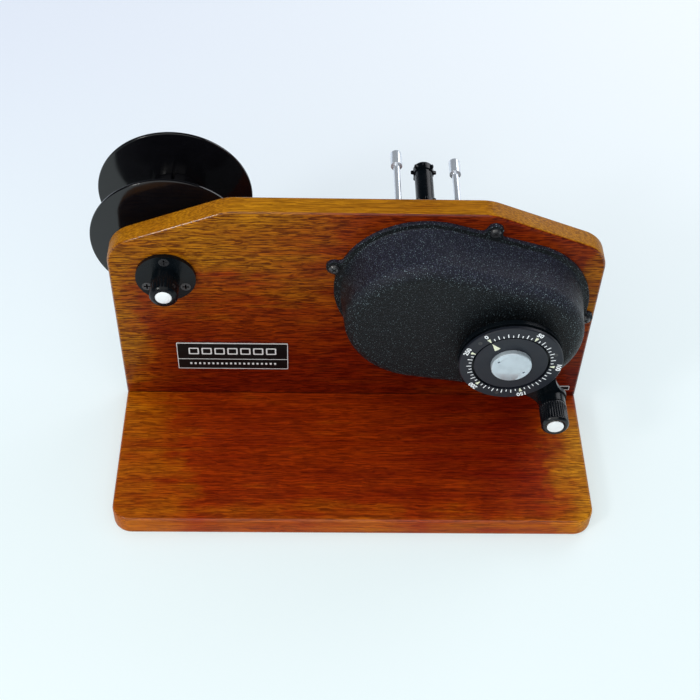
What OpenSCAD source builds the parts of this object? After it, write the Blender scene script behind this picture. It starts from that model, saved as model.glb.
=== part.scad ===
// Bulk film loader: an L-shaped wooden stand that carries a film reel, a guide and sprocket path,
// and a hand crank with a frame-counting dial. The crank drives the sprocket and the take-up
// spindle through a closed gear case. X runs along the stand, +Y goes back, +Z up, and the origin
// is on the underside of the base, below the front face of the upright board.

/* [Wooden stand] */
// Width of the stand
stand_w = 270; // [268:1:280]
// Depth of the base in front of the upright board
base_d = 92; // [88:1:110]
// Thickness of both boards
board_t = 13; // [13:0.5:15]
// Height of the upright board above the base
upright_h = 146; // [145:1:150]
// Height of the sloped shoulders of the upright board
shoulder_drop = 26; // [22:1:28]
// Length of the level top edge
top_w = 140; // [132:1:150]

/* [Reel] */
// Diameter of the reel flanges
flange_d = 88.8; // [84:0.2:90]
// Clear width between the flanges
reel_gap = 37.5; // [36:0.5:38]
// Thickness of a flange
flange_t = 2; // [1.5:0.5:2]
// Diameter of the film core
core_d = 32; // [28:1:36]
// Diameter of the fixed reel shaft
shaft_d = 9.2; // [8.8:0.1:9.4]

/* [Gear case] */
// Radius of the case around the sprocket drive
case_ra = 49.1; // [49:0.1:49.4]
// Radius of the case around the crank
case_rb = 45.9; // [45.8:0.1:46.2]
// Height of the case above the board
case_h = 32; // [31:0.1:32]
// Radius of the rounded front edge
case_fillet = 8.5; // [6:0.5:9]
// Wall thickness of the case
case_wall = 2.2; // [2:0.1:2.4]

/* [Gears] */
// Gear module
gear_m = 1; // [1]
// Teeth of the crank gear
crank_teeth = 56; // [56]
// Teeth of the counter gear, one fewer than the crank gear
counter_teeth = 55; // [55]
// Teeth of the small idler gear
pinion_teeth = 21; // [21]
// Teeth of the large idler gear
idler_teeth = 45; // [45]
// Teeth of the sprocket and take-up gears
driven_teeth = 24; // [24]
// Backlash at the pitch circle
backlash = 0.18; // [0.15:0.01:0.25]

/* [Crank and dial] */
// Diameter of the scale ring
dial_d = 56; // [54:0.2:56.4]
// Diameter of the pointer disc
pointer_d = 39.8; // [38:0.2:40.4]
// Diameter of the cap nut
cap_d = 21.8; // [20:0.2:22]
// Crank radius to the handle
crank_r = 42.6; // [41:0.1:44]
// Diameter of the handle grip
grip_d = 15.2; // [14:0.2:16]
// Length of the handle grip
grip_l = 13.8; // [12:0.2:15]
// Height of the boss between the crank arm and the grip
handle_boss_h = 6; // [5:0.5:6]

/* [Film path] */
// Outside diameter over the sprocket teeth
sprocket_d = 14.3; // [14.2:0.1:14.6]
// Teeth in each row of the sprocket
sprocket_teeth = 8; // [8]
// Diameter of the guide posts where the film passes
post_d = 3.8; // [3.6:0.1:4]
// Diameter of the guide posts' shoulders and ends
post_cap_d = 6.6; // [6:0.1:7]
// Diameter of the magazine seat's bore
magazine_d = 61; // [60:0.5:62]

/* [Hidden] */
$fn = 96;

// Clearances: a running fit, a seat between fixed pieces, and a gap between turning faces
run = 0.05;
seat = 0.02;
gap = 0.3;

// Stand
upright_top = board_t + upright_h;
edge_r = 1.8;
edge_steps = [0, 30, 60, 90];
base_corner_r = 11;
shoulder_corner_r = 18.5;
top_corner_r = 26;

// Axes, as [x, z]
reel_c = [-103.9, 112.1];
crank_c = [82.7, 92.4];
sprocket_c = [37.8, 134.8];
case_a = [36.6, 105.6];
case_b = [83.7, 94.3];
left_post_c = [22.7, 136];
right_post_c = [56.5, 130.4];

// Pitch distances of the two idler meshes, and the idler's place where both are met
crank_mesh = gear_m * (crank_teeth + pinion_teeth) / 2;
driven_mesh = gear_m * (idler_teeth + driven_teeth) / 2;
idler_c = meet(crank_c, crank_mesh, sprocket_c, driven_mesh);
takeup_dir = -52;
takeup_c = idler_c + driven_mesh * [cos(takeup_dir), sin(takeup_dir)];

// Profile shift that lets the counter gear share the crank gear's centre distance
pressure = 20;
tight_mesh = gear_m * (counter_teeth + pinion_teeth) / 2;
work_pressure = acos(cos(pressure) * tight_mesh / crank_mesh);
counter_shift = (inv(work_pressure) - inv(pressure)) * (counter_teeth + pinion_teeth)
                / (2 * tan(pressure));

// Directions between the gear centres, and the turn of each gear that puts it in mesh
dir_crank_idler = bearing(crank_c, idler_c);
dir_idler_sprocket = bearing(idler_c, sprocket_c);
pinion_turn = mesh_turn(crank_teeth, 0, pinion_teeth, dir_crank_idler);
counter_turn = mesh_turn(pinion_teeth, pinion_turn, counter_teeth, dir_crank_idler + 180);
sprocket_gear_turn = mesh_turn(idler_teeth, 0, driven_teeth, dir_idler_sprocket);
takeup_gear_turn = mesh_turn(idler_teeth, 0, driven_teeth, takeup_dir);

// Layers along Y, front of the board is 0 and the front of the loader is negative
plate_t = 2;
low_gear_y = [-8, -3.5];
counter_gear_y = [-15, -12];
crank_gear_y = [-22, -17.5];
pinion_y = [-23.5, -11];
crank_back_y = -33.4;
arm_y = [-40.9, -38.3];
boss_front_y = -42.4;
ring_y = [-44.4, boss_front_y];
disc_y = [-44, -42.7];
cap_y = [-46.9, disc_y[0]];

// Radii of shafts
counter_shaft_r = 3;
tube_r = 6;
stud_r = 3;
sprocket_shaft_r = 3;
takeup_shaft_r = 3;
bush_wall = 2;

// Film path
film_mid_y = 47.5;
reel_y = film_mid_y - reel_gap / 2 - flange_t;
film_half = 17.7;

// Gear case
rim_w = 3.4;
rim_t = 2.4;
case_draft = 2.7;
lug_r = 4.4;
lug_holes = [[-12.5, 121.6], [71.8, 149.4], [129.4, 83.8], [49.5, 49.9]];
plate_holes = [[10, 92], [14, 124], [112, 78], [101, 124]];
plate_inset = rim_w + case_wall + 0.8;

// Crank and handle
handle_dir = -51;
handle_c = crank_c + crank_r * [cos(handle_dir), sin(handle_dir)];
hub_r = 28.4;
boss_r = 26.6;
arm_half = 8.1;
arm_end_r = 8.4;
arm_fillet = 20;
ring_bore_r = 21;
handle_boss_r = 7.5;
handle_boss_y = arm_y[0] - handle_boss_h;
grip_y = [handle_boss_y - 0.3 - grip_l, handle_boss_y - 0.3];

// Small fasteners
ring_screw_angles = [138, 18, -102];
ring_screw_pcd_r = 24.4;
holder_screw_angles = [90, 210, 330];
holder_screw_r = 12.2;
reel_screw_r = 12;
seat_screw_angles = [-52, 68, 188];

// ---- Functions ------------------------------------------------------------------------------

// Direction from a to b in degrees
function bearing(a, b) = atan2(b[1] - a[1], b[0] - a[0]);

// Point at distance da from a and db from b, on the left of the line from a to b
function meet(a, da, b, db) =
    let (d = norm(b - a), u = (b - a) / d, s = (da * da - db * db + d * d) / (2 * d))
    a + s * u + sqrt(da * da - s * s) * [-u[1], u[0]];

// Involute function of an angle in degrees, in radians
function inv(a) = tan(a) - a * PI / 180;

// Turn of a second gear that puts it in mesh with a first, in the direction dir from the first
function mesh_turn(n1, turn1, n2, dir) =
    dir + 180 + (0.5 + (dir - turn1) * n1 / 360) * 360 / n2;

// Half the angle that a tooth takes at radius r, in degrees
function half_tooth(n, shift, r) =
    let (rp = gear_m * n / 2, rb = rp * cos(pressure),
         thick = gear_m * PI / 2 + 2 * shift * gear_m * tan(pressure) - backlash)
    (thick / (2 * rp) + inv(pressure) - inv(acos(min(1, rb / r)))) * 180 / PI;

// Outline of an involute gear with its first tooth on +X
function gear_points(n, shift = 0) =
    let (rp = gear_m * n / 2, rb = rp * cos(pressure), foot = rp + gear_m * (shift - 1.25),
         tip = rp + gear_m * (shift + 0.95), start = max(rb, foot) + 0.02, flank = 4,
         radii = [for (i = [0:flank]) start + (tip - start) * i / flank])
    [for (k = [0:n - 1], side = [-1, 1], i = [0:flank + 1])
        let (j = side < 0 ? i - 1 : flank - i,
             r = j < 0 ? foot : radii[j],
             a = k * 360 / n + side * half_tooth(n, shift, j < 0 ? start : r))
        [r * cos(a), r * sin(a)]];

// ---- Building blocks ------------------------------------------------------------------------

// A rod along Y, centred on c = [x, z], from y[0] to y[1]
module rod(c, y, r) {
    translate([c[0], y[0], c[1]])
        rotate([-90, 0, 0])
            cylinder(h = y[1] - y[0], r = r);
}

// A cone along Y with radius r0 at y[0] and r1 at y[1]
module cone(c, y, r0, r1) {
    translate([c[0], y[0], c[1]])
        rotate([-90, 0, 0])
            cylinder(h = y[1] - y[0], r1 = r0, r2 = r1);
}

// A tube along Y
module tube(c, y, r_out, r_in) {
    difference() {
        rod(c, y, r_out);
        rod(c, [y[0] - 1, y[1] + 1], r_in);
    }
}

// A flat outline, drawn as x and z, given thickness from y[0] to y[1]
module slab(y) {
    translate([0, y[1], 0])
        rotate([90, 0, 0])
            linear_extrude(y[1] - y[0])
                children();
}

// Area around two circles
module two_circles(ra, rb) {
    hull() {
        translate(case_a)
            circle(r = ra);
        translate(case_b)
            circle(r = rb);
    }
}

// A gear along Y with a bore
module gear(c, y, n, turn, bore_r, shift = 0) {
    difference() {
        slab(y)
            translate(c)
                rotate(turn)
                    polygon(gear_points(n, shift));
        rod(c, [y[0] - 1, y[1] + 1], bore_r);
    }
}

// Copies of a child at angles on a circle around c
module around(c, angles, r) {
    for (a = angles)
        translate([c[0] + r * cos(a), 0, c[1] + r * sin(a)])
            children();
}

// A rounded-head screw along Y whose head sits on y_seat and points to the front
module pan_screw(y_seat, head_r, head_h, shank_r, length) {
    difference() {
        union() {
            rod([0, 0], [y_seat - head_h * 0.55, y_seat], head_r);
            cone([0, 0], [y_seat - head_h, y_seat - head_h * 0.55], head_r * 0.7, head_r);
            rod([0, 0], [y_seat, y_seat + length], shank_r);
        }
        for (a = [45, 135])
            rotate([0, a, 0])
                translate([-head_r * 0.55, y_seat - head_h - 1, -head_r * 0.12])
                    cube([head_r * 1.1, 1 + head_h * 0.5, head_r * 0.24]);
    }
}

// A countersunk screw along Y, head flush with y_face; face_dir is -1 for a head facing the front
module flush_screw(y_face, face_dir, head_r, shank_r, length) {
    head_h = head_r - shank_r;
    difference() {
        translate([0, y_face, 0])
            rotate([face_dir < 0 ? -90 : 90, 0, 0])
                union() {
                    cylinder(h = head_h, r1 = head_r, r2 = shank_r);
                    cylinder(h = length, r = shank_r);
                }
        for (a = [0, 90])
            rotate([0, a, 0])
                translate([-head_r * 0.6, y_face - head_h * 0.4, -head_r * 0.12])
                    cube([head_r * 1.2, head_h * 0.8, head_r * 0.24]);
    }
}

// Room for a flush screw
module flush_hole(y_face, face_dir, head_r, shank_r, length) {
    head_h = head_r - shank_r;
    translate([0, y_face, 0])
        rotate([face_dir < 0 ? -90 : 90, 0, 0])
            union() {
                cylinder(h = head_h + seat, r1 = head_r + seat, r2 = shank_r);
                translate([0, 0, -1])
                    cylinder(h = 1.01, r = head_r + seat);
                translate([0, 0, -1])
                    cylinder(h = length + 1 + seat, r = shank_r + seat);
            }
}

// A retaining clip: a split ring along Y
module clip(c, y, r_in, r_out, opening) {
    difference() {
        tube(c, y, r_out, r_in);
        translate([c[0], y[0] - 1, c[1]])
            rotate([0, -opening, 0])
                translate([0, 0, -r_in * 0.6])
                    cube([r_out * 2, y[1] - y[0] + 2, r_in * 1.2]);
    }
}

// ---- Wooden stand ---------------------------------------------------------------------------

// Outline of the base, as x and y, pulled in by d
module base_outline(d) {
    w = stand_w / 2 - d;
    r = base_corner_r - d;
    hull() {
        for (s = [-1, 1])
            translate([s * (w - r), -base_d + d + r])
                circle(r = r, $fn = 32);
        translate([-w, board_t - d - 1])
            square([2 * w, 1]);
    }
}

module base_board() {
    color("#a05a24")
        difference() {
            hull()
                for (a = edge_steps)
                    translate([0, 0, edge_r * (1 - sin(a))])
                        linear_extrude(board_t - 2 * edge_r * (1 - sin(a)))
                            base_outline(edge_r * (1 - cos(a)));
            board_screw_holes();
        }
}

// Outline of the upright board, as x and z, pulled in by d; its foot stands flat on the base
module upright_outline(d) {
    w = stand_w / 2 - d;
    slope = atan(shoulder_drop / (stand_w / 2 - top_w / 2));
    low = shoulder_corner_r - d;
    top = top_corner_r - d;
    z_low = upright_top - shoulder_drop;
    // Centres of the corner arcs, set so that each arc touches both of its edges
    low_c = z_low - shoulder_corner_r * tan((90 - slope) / 2);
    top_c = top_w / 2 - top_corner_r * tan(slope / 2);
    hull() {
        for (s = [-1, 1]) {
            translate([s * (w - low), low_c])
                circle(r = low, $fn = 48);
            translate([s * top_c, upright_top - d - top])
                circle(r = top, $fn = 48);
        }
        translate([-w, board_t])
            square([2 * w, 1]);
    }
}

module back_board() {
    color("#a05a24")
        difference() {
            hull()
                for (a = edge_steps)
                    slab([edge_r * (1 - sin(a)), board_t - edge_r * (1 - sin(a))])
                        upright_outline(edge_r * (1 - cos(a)));
            board_screw_holes();
            rod(reel_c, [-1, board_t + 1], holder_hub_r + seat);
            rod(sprocket_c, [-1, board_t + 1], sprocket_shaft_r + bush_wall + seat);
            rod(takeup_c, [-1, board_t + 1], takeup_shaft_r + bush_wall + seat);
            rod(crank_c, [-1, counter_bush_y[1] + seat], counter_shaft_r + bush_wall + seat);
            rod(idler_c, [-1, stud_back_y + seat], stud_r + seat);
            for (c = [left_post_c, right_post_c])
                rod(c, [-1, board_t + 1], post_d / 2 + seat);
            around(reel_c, holder_screw_angles, holder_screw_r)
                rod([0, 0], [-1, 9 + seat], 1.3 + seat);
            around(takeup_c, seat_screw_angles, seat_screw_r)
                rod([0, 0], [board_t - 9 - seat, board_t + 1], 1.3 + seat);
            for (c = plate_holes)
                rod(c, [-1, 8 + seat], 1.2 + seat);
            for (c = lug_holes)
                rod(c, [-1, 8 + seat], 1.4 + seat);
        }
}

board_screw_x = [-95, 0, 95];

// Wood screws driven up through the base into the foot of the upright board
module board_screws() {
    color("#8a8a86")
        for (x = board_screw_x)
            translate([x, board_t / 2, 0])
                rotate([-90, 0, 0])
                    flush_screw(0, 1, 4, 2, 38);
}

module board_screw_holes() {
    for (x = board_screw_x)
        translate([x, board_t / 2, 0])
            rotate([-90, 0, 0])
                flush_hole(0, 1, 4, 2, 38);
}

module nameplate() {
    color("#17181a")
        translate([-102.4, -0.8, 35.9])
            cube([64.2, 0.8, 22.2]);
}

module strip_label() {
    color("#17181a")
        translate([100.5, -0.5, 18.6])
            cube([30, 0.5, 3.6]);
}

// ---- Reel and its shaft ---------------------------------------------------------------------

holder_flange_r = 16.4;
holder_flange_t = 2.5;
holder_hub_r = 7.7;
holder_front_y = -17;
reel_back_y = reel_y + reel_gap + 2 * flange_t;
set_screw_y = -12.5;
set_screw_dir = 40;

// Shaft holder: a flange on the board with a hub that clamps the shaft
module shaft_holder() {
    color("#1b1c1e")
        difference() {
            union() {
                rod(reel_c, [-holder_flange_t, 0], holder_flange_r);
                rod(reel_c, [holder_front_y + 1.2, board_t - 0.5], holder_hub_r);
                cone(reel_c, [holder_front_y, holder_front_y + 1.2], holder_hub_r - 1.2, holder_hub_r);
            }
            rod(reel_c, [holder_front_y - 1, board_t + 1], shaft_d / 2 + seat);
            around(reel_c, holder_screw_angles, holder_screw_r)
                flush_hole(-holder_flange_t, -1, 2.9, 1.3, 9 + holder_flange_t);
            set_screw_room(seat);
        }
}

module holder_screws() {
    color("#2b2c2e")
        around(reel_c, holder_screw_angles, holder_screw_r)
            flush_screw(-holder_flange_t, -1, 2.9, 1.3, 9 + holder_flange_t);
}

// The radial hole of the set screw, grown by d
module set_screw_room(d) {
    translate([reel_c[0], set_screw_y, reel_c[1]])
        rotate([0, 90 - set_screw_dir, 0])
            translate([0, 0, shaft_d / 2 + seat])
                cylinder(h = holder_hub_r, r = 1.5 + d, $fn = 48);
}

module holder_set_screw() {
    color("#3a3b3d")
        difference() {
            intersection() {
                set_screw_room(0);
                rod(reel_c, [set_screw_y - 5, set_screw_y + 5], holder_hub_r - 0.3);
            }
            translate([reel_c[0], set_screw_y, reel_c[1]])
                rotate([0, 90 - set_screw_dir, 0])
                    translate([0, 0, holder_hub_r - 1.8])
                        cylinder(h = 3, r = 0.75, $fn = 6);
        }
}

shaft_back_y = reel_back_y + 11;

module reel_shaft() {
    color("#d8dadc")
        union() {
            rod(reel_c, [holder_front_y - 0.2, shaft_back_y - 0.6], shaft_d / 2);
            cone(reel_c, [shaft_back_y - 0.6, shaft_back_y], shaft_d / 2, shaft_d / 2 - 0.6);
        }
}

// Spacer that keeps the reel clear of the board
module reel_spacer() {
    color("#c9cbcd")
        tube(reel_c, [board_t, reel_y - gap], 7, shaft_d / 2 + seat);
}

reel_bush_r = shaft_d / 2 + 2;

// Film core with a slot that takes the film's end
module reel_hub() {
    color("#1a1a1c")
        difference() {
            tube(reel_c, [reel_y + flange_t, reel_back_y - flange_t], core_d / 2, reel_bush_r + seat);
            translate([reel_c[0] - 0.75, reel_y + flange_t - 1, reel_c[1] + core_d / 2 - 2.5])
                cube([1.5, reel_gap + 2, 4]);
            reel_screw_holes();
        }
}

module reel_flange(y) {
    color("#101012")
        difference() {
            union() {
                rod(reel_c, [y + 0.3, y + flange_t - 0.3], flange_d / 2);
                cone(reel_c, [y, y + 0.3], flange_d / 2 - 0.3, flange_d / 2);
                cone(reel_c, [y + flange_t - 0.3, y + flange_t], flange_d / 2, flange_d / 2 - 0.3);
            }
            rod(reel_c, [y - 1, y + flange_t + 1], reel_bush_r + seat);
            reel_screw_holes();
        }
}

module reel_near_flange() {
    reel_flange(reel_y);
}

module reel_far_flange() {
    reel_flange(reel_back_y - flange_t);
}

module reel_bush() {
    color("#b08d4a")
        tube(reel_c, [reel_y, reel_back_y], reel_bush_r, shaft_d / 2 + run);
}

// Three countersunk screws through each flange into the core
module reel_screws() {
    color("#4a4b4d")
        around(reel_c, holder_screw_angles, reel_screw_r) {
            flush_screw(reel_y, -1, 2.6, 1.3, 9);
            flush_screw(reel_back_y, 1, 2.6, 1.3, 9);
        }
}

module reel_screw_holes() {
    around(reel_c, holder_screw_angles, reel_screw_r) {
        flush_hole(reel_y, -1, 2.6, 1.3, 9);
        flush_hole(reel_back_y, 1, 2.6, 1.3, 9);
    }
}

module reel_washer() {
    color("#c9cbcd")
        tube(reel_c, [reel_back_y + gap, reel_back_y + gap + 1], 9, shaft_d / 2 + seat);
}

// Grip nut that keeps the reel on its shaft
module reel_nut() {
    y = reel_back_y + gap + 1;
    color("#1b1c1e")
        difference() {
            union() {
                rod(reel_c, [y, y + 7], 9);
                cone(reel_c, [y + 7, y + 8], 9, 8);
            }
            rod(reel_c, [y - 1, y + 9], shaft_d / 2 + seat);
        }
}

// ---- Gear case ------------------------------------------------------------------------------

module gear_plate() {
    color("#b9bcbe")
        difference() {
            slab([-plate_t, 0])
                two_circles(case_ra - plate_inset, case_rb - plate_inset);
            rod(sprocket_c, [-plate_t - 1, 1], sprocket_shaft_r + bush_wall + seat);
            rod(takeup_c, [-plate_t - 1, 1], takeup_shaft_r + bush_wall + seat);
            rod(crank_c, [-plate_t - 1, 1], counter_shaft_r + bush_wall + seat);
            rod(idler_c, [-plate_t - 1, 1], stud_r + seat);
            for (c = [left_post_c, right_post_c])
                rod(c, [-plate_t - 1, 1], post_d / 2 + seat);
            for (c = plate_holes)
                translate([c[0], 0, c[1]])
                    flush_hole(-plate_t, -1, 2.4, 1.2, 9);
        }
}

module plate_screws() {
    color("#9a9c9e")
        for (c = plate_holes)
            translate([c[0], 0, c[1]])
                flush_screw(-plate_t, -1, 2.4, 1.2, 8 + plate_t);
}

// A round dome along Y with a drafted wall and a rounded front edge, starting at height foot
module dome(c, r, foot, h, fillet) {
    steps = 6;
    arc_y = h - fillet;
    r_arc = r - case_draft * arc_y / h - fillet;
    translate([c[0], 0, c[1]])
        rotate([90, 0, 0])
            rotate_extrude($fn = 64)
                polygon(concat([[0, foot], [r - case_draft * foot / h, foot]],
                    [for (i = [0:steps])
                        [r_arc + fillet * cos(90 * i / steps), arc_y + fillet * sin(90 * i / steps)]],
                    [[0, h]]));
}

module case_body(inset, foot, h, fillet) {
    hull() {
        dome(case_a, case_ra - rim_w - inset, foot, h, fillet);
        dome(case_b, case_rb - rim_w - inset, foot, h, fillet);
    }
}

module gear_cover() {
    color("#1d1e20")
        difference() {
            union() {
                case_body(0, rim_t / 2, case_h, case_fillet);
                slab([-rim_t, 0]) {
                    two_circles(case_ra, case_rb);
                    for (c = lug_holes)
                        lug(c);
                }
            }
            case_body(case_wall, -1, case_h - case_wall, case_fillet - case_wall);
            for (c = lug_holes)
                rod(c, [-rim_t - 1, 1], 1.4 + seat);
            rod(crank_c, [-case_h - 1, 0], crank_bush_r + seat);
        }
}

// Outline of an ear for a cover screw, running in to the rim of the case
module lug(c) {
    near = norm(c - case_a) < norm(c - case_b) ? case_a : case_b;
    translate(c) {
        circle(r = lug_r);
        rotate(bearing(c, near))
            translate([0, -lug_neck / 2])
                square([lug_reach, lug_neck]);
    }
}

lug_reach = 6;
lug_neck = 7.6;

module cover_screws() {
    color("#26272a")
        for (c = lug_holes)
            translate([c[0], 0, c[1]])
                pan_screw(-rim_t, 2.9, 2, 1.4, 8 + rim_t);
}

// ---- Crank ----------------------------------------------------------------------------------

crank_bush_r = tube_r + bush_wall;
crank_bush_y = [-case_h - 1.2, -26.5];
counter_bush_y = [-8, 9];
stud_back_y = 9;
tube_y = [boss_front_y + gap, -16.5];

// Flanged bush in the face of the case that carries the crank
module crank_bush() {
    color("#b08d4a")
        difference() {
            union() {
                rod(crank_c, [crank_bush_y[0], -case_h], crank_bush_r + 2);
                rod(crank_c, [-case_h, crank_bush_y[1]], crank_bush_r);
            }
            rod(crank_c, [crank_bush_y[0] - 1, crank_bush_y[1] + 1], tube_r + run);
        }
}

// Blind bush in the board that carries the inner end of the counter shaft
module counter_bush() {
    color("#b08d4a")
        difference() {
            rod(crank_c, counter_bush_y, counter_shaft_r + bush_wall);
            rod(crank_c, [counter_bush_y[0] - 1, counter_bush_y[1] - 1.5], counter_shaft_r + run);
        }
}

// Hollow crank shaft with a flange for the crank gear
module crank_tube() {
    color("#c9cbcd")
        difference() {
            union() {
                rod(crank_c, tube_y, tube_r);
                rod(crank_c, [crank_gear_y[1], tube_y[1]], tube_r + 3);
            }
            rod(crank_c, [tube_y[0] - 1, tube_y[1] + 1], counter_shaft_r + run);
        }
}

module crank_gear() {
    color("#c8a24e")
        gear(crank_c, crank_gear_y, crank_teeth, 0, tube_r + seat);
}

// Teardrop crank: a hub disc under the dial that runs out to the handle
// Outline of the hub disc and its arm. Each fillet is cut a little oversize, so that it crosses
// the edges that it blends into.
module arm_outline() {
    oversize = 0.05;
    middle = [sqrt(pow(hub_r + arm_fillet, 2) - pow(arm_half + arm_fillet, 2)), arm_half + arm_fillet];
    touch = middle * hub_r / (hub_r + arm_fillet);
    translate(crank_c)
        circle(r = hub_r);
    translate(handle_c)
        circle(r = arm_end_r);
    translate(crank_c)
        rotate(handle_dir)
            difference() {
                polygon([[0, 0], touch, middle, [middle[0], arm_half], [crank_r, arm_half],
                         [crank_r, -arm_half], [middle[0], -arm_half], [middle[0], -middle[1]],
                         [touch[0], -touch[1]]]);
                for (s = [-1, 1])
                    translate([middle[0], s * middle[1]])
                        circle(r = arm_fillet + oversize);
            }
}

module crank_arm() {
    color("#1b1c1f")
        difference() {
            union() {
                slab(arm_y)
                    arm_outline();
                rod(handle_c, [handle_boss_y, arm_y[0] + 1], handle_boss_r);
                rod(crank_c, [boss_front_y, arm_y[0] + 1], boss_r);
                rod(crank_c, [arm_y[1] - 1, crank_back_y], tube_r + 3.5);
            }
            rod(crank_c, [boss_front_y - 1, crank_back_y + 1], tube_r + seat);
            rod(handle_c, [handle_boss_y - 1, arm_y[1] + 1], spindle_neck_r + seat);
            around(crank_c, ring_screw_angles, ring_screw_pcd_r)
                rod([0, 0], [boss_front_y - 1, boss_front_y + 2.5 + seat], 0.6 + seat);
        }
}

// Ring that carries the frame scale
module scale_ring() {
    color("#222428")
        difference() {
            union() {
                rod(crank_c, [ring_y[0] + 0.4, ring_y[1]], dial_d / 2);
                cone(crank_c, [ring_y[0], ring_y[0] + 0.4], dial_d / 2 - 0.4, dial_d / 2);
            }
            rod(crank_c, [ring_y[0] - 1, ring_y[1] + 1], ring_bore_r);
            around(crank_c, ring_screw_angles, ring_screw_pcd_r)
                flush_hole(ring_y[0], -1, 1.1, 0.6, 4.4);
        }
}

module ring_screws() {
    color("#101113")
        around(crank_c, ring_screw_angles, ring_screw_pcd_r)
            flush_screw(ring_y[0], -1, 1.1, 0.6, 4.4);
}

spindle_neck_r = 2.5;
spindle_r = 3.5;
spindle_head_r = 4.6;
spindle_head_t = 1.6;

// Shoulder rivet that the grip turns on
module handle_spindle() {
    color("#dfe1e3")
        union() {
            rod(handle_c, [grip_y[0], grip_y[0] + spindle_head_t], spindle_head_r);
            rod(handle_c, [grip_y[0] + spindle_head_t, handle_boss_y], spindle_r);
            rod(handle_c, [handle_boss_y, arm_y[1]], spindle_neck_r);
        }
}

module handle_grip() {
    chamfer = 1.1;
    back_gap = 0.1;
    color("#18191b")
        difference() {
            union() {
                cone(handle_c, [grip_y[0] + 0.1, grip_y[0] + chamfer], grip_d / 2 - chamfer, grip_d / 2);
                rod(handle_c, [grip_y[0] + chamfer, grip_y[1] - 0.5], grip_d / 2);
                cone(handle_c, [grip_y[1] - 0.5, grip_y[1]], grip_d / 2, grip_d / 2 - 0.5);
            }
            rod(handle_c, [grip_y[0] - 1, grip_y[1] + 1], spindle_r + run);
            rod(handle_c, [grip_y[0] - 1, grip_y[0] + spindle_head_t + back_gap],
                spindle_head_r + run);
        }
}

// ---- Counter --------------------------------------------------------------------------------

module counter_shaft() {
    color("#c9cbcd")
        rod(crank_c, [cap_y[0] + 1, counter_bush_y[1] - 1.6], counter_shaft_r);
}

// Counter gear with a hub that spaces it from the board
module counter_gear() {
    color("#c8a24e")
        difference() {
            union() {
                gear(crank_c, counter_gear_y, counter_teeth, counter_turn, counter_shaft_r + seat,
                     counter_shift);
                rod(crank_c, [counter_gear_y[1] - 1, counter_bush_y[0] - gap], tube_r);
            }
            rod(crank_c, [counter_gear_y[0] - 1, counter_bush_y[0] + 1], counter_shaft_r + seat);
        }
}

module pointer_disc() {
    color("#2b2b31")
        tube(crank_c, disc_y, pointer_d / 2, counter_shaft_r + seat);
}

// Cap nut with two holes for a pin wrench
module cap_nut() {
    color("#cfd4d8")
        difference() {
            union() {
                rod(crank_c, [cap_y[0] + 0.4, cap_y[1]], cap_d / 2);
                cone(crank_c, [cap_y[0], cap_y[0] + 0.4], cap_d / 2 - 0.4, cap_d / 2);
            }
            rod(crank_c, [cap_y[0] + 1, cap_y[1] + 1], counter_shaft_r + seat);
            around(crank_c, [150, -30], 8.2)
                rod([0, 0], [cap_y[0] - 1, cap_y[0] + 1.6], 0.7);
        }
}

// ---- Idler ----------------------------------------------------------------------------------

stud_front_y = -26;

module idler_stud() {
    color("#c9cbcd")
        difference() {
            rod(idler_c, [stud_front_y, stud_back_y], stud_r);
            tube(idler_c, [stud_front_y + 0.8, stud_front_y + 1.8], stud_r + 1, stud_r - 0.5);
        }
}

module idler_clip() {
    color("#3a3b3d")
        clip(idler_c, [stud_front_y + 0.9, stud_front_y + 1.7], stud_r - 0.48, stud_r + 2.5, 200);
}

// Small idler gear with the long hub that carries the large one
module idler_pinion() {
    color("#c9cbcd")
        difference() {
            union() {
                gear(idler_c, pinion_y, pinion_teeth, pinion_turn, stud_r + run);
                rod(idler_c, [pinion_y[1] - 1, -plate_t - gap], tube_r);
            }
            rod(idler_c, [pinion_y[0] - 1, 0], stud_r + run);
        }
}

module idler_gear() {
    color("#c8a24e")
        gear(idler_c, low_gear_y, idler_teeth, 0, tube_r + seat);
}

// ---- Sprocket and guide posts ---------------------------------------------------------------

board_bush_y = [-plate_t - 0.8, board_t + 1.5];
sprocket_front_y = -12.5;
sprocket_end_y = film_mid_y + film_half - 1;

// Flanged bush through the board for a driven shaft
module board_bush(c, r) {
    color("#b08d4a")
        difference() {
            union() {
                rod(c, [board_bush_y[0], board_t], r + bush_wall);
                rod(c, [board_t, board_bush_y[1]], r + bush_wall + 1.5);
            }
            rod(c, [board_bush_y[0] - 1, board_bush_y[1] + 1], r + run);
        }
}

module sprocket_bush() {
    board_bush(sprocket_c, sprocket_shaft_r);
}

// Shaft with a groove for the clip at its front end
module grooved_shaft(c, y, r) {
    difference() {
        rod(c, y, r);
        tube(c, [y[0] + 0.8, y[0] + 1.8], r + 1, r - 0.5);
    }
}

module sprocket_shaft() {
    color("#c9cbcd")
        difference() {
            grooved_shaft(sprocket_c, [sprocket_front_y, sprocket_end_y - 2], sprocket_shaft_r);
            rod(sprocket_c, [sprocket_end_y - 9, sprocket_end_y], 1.2 + seat);
        }
}

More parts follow.
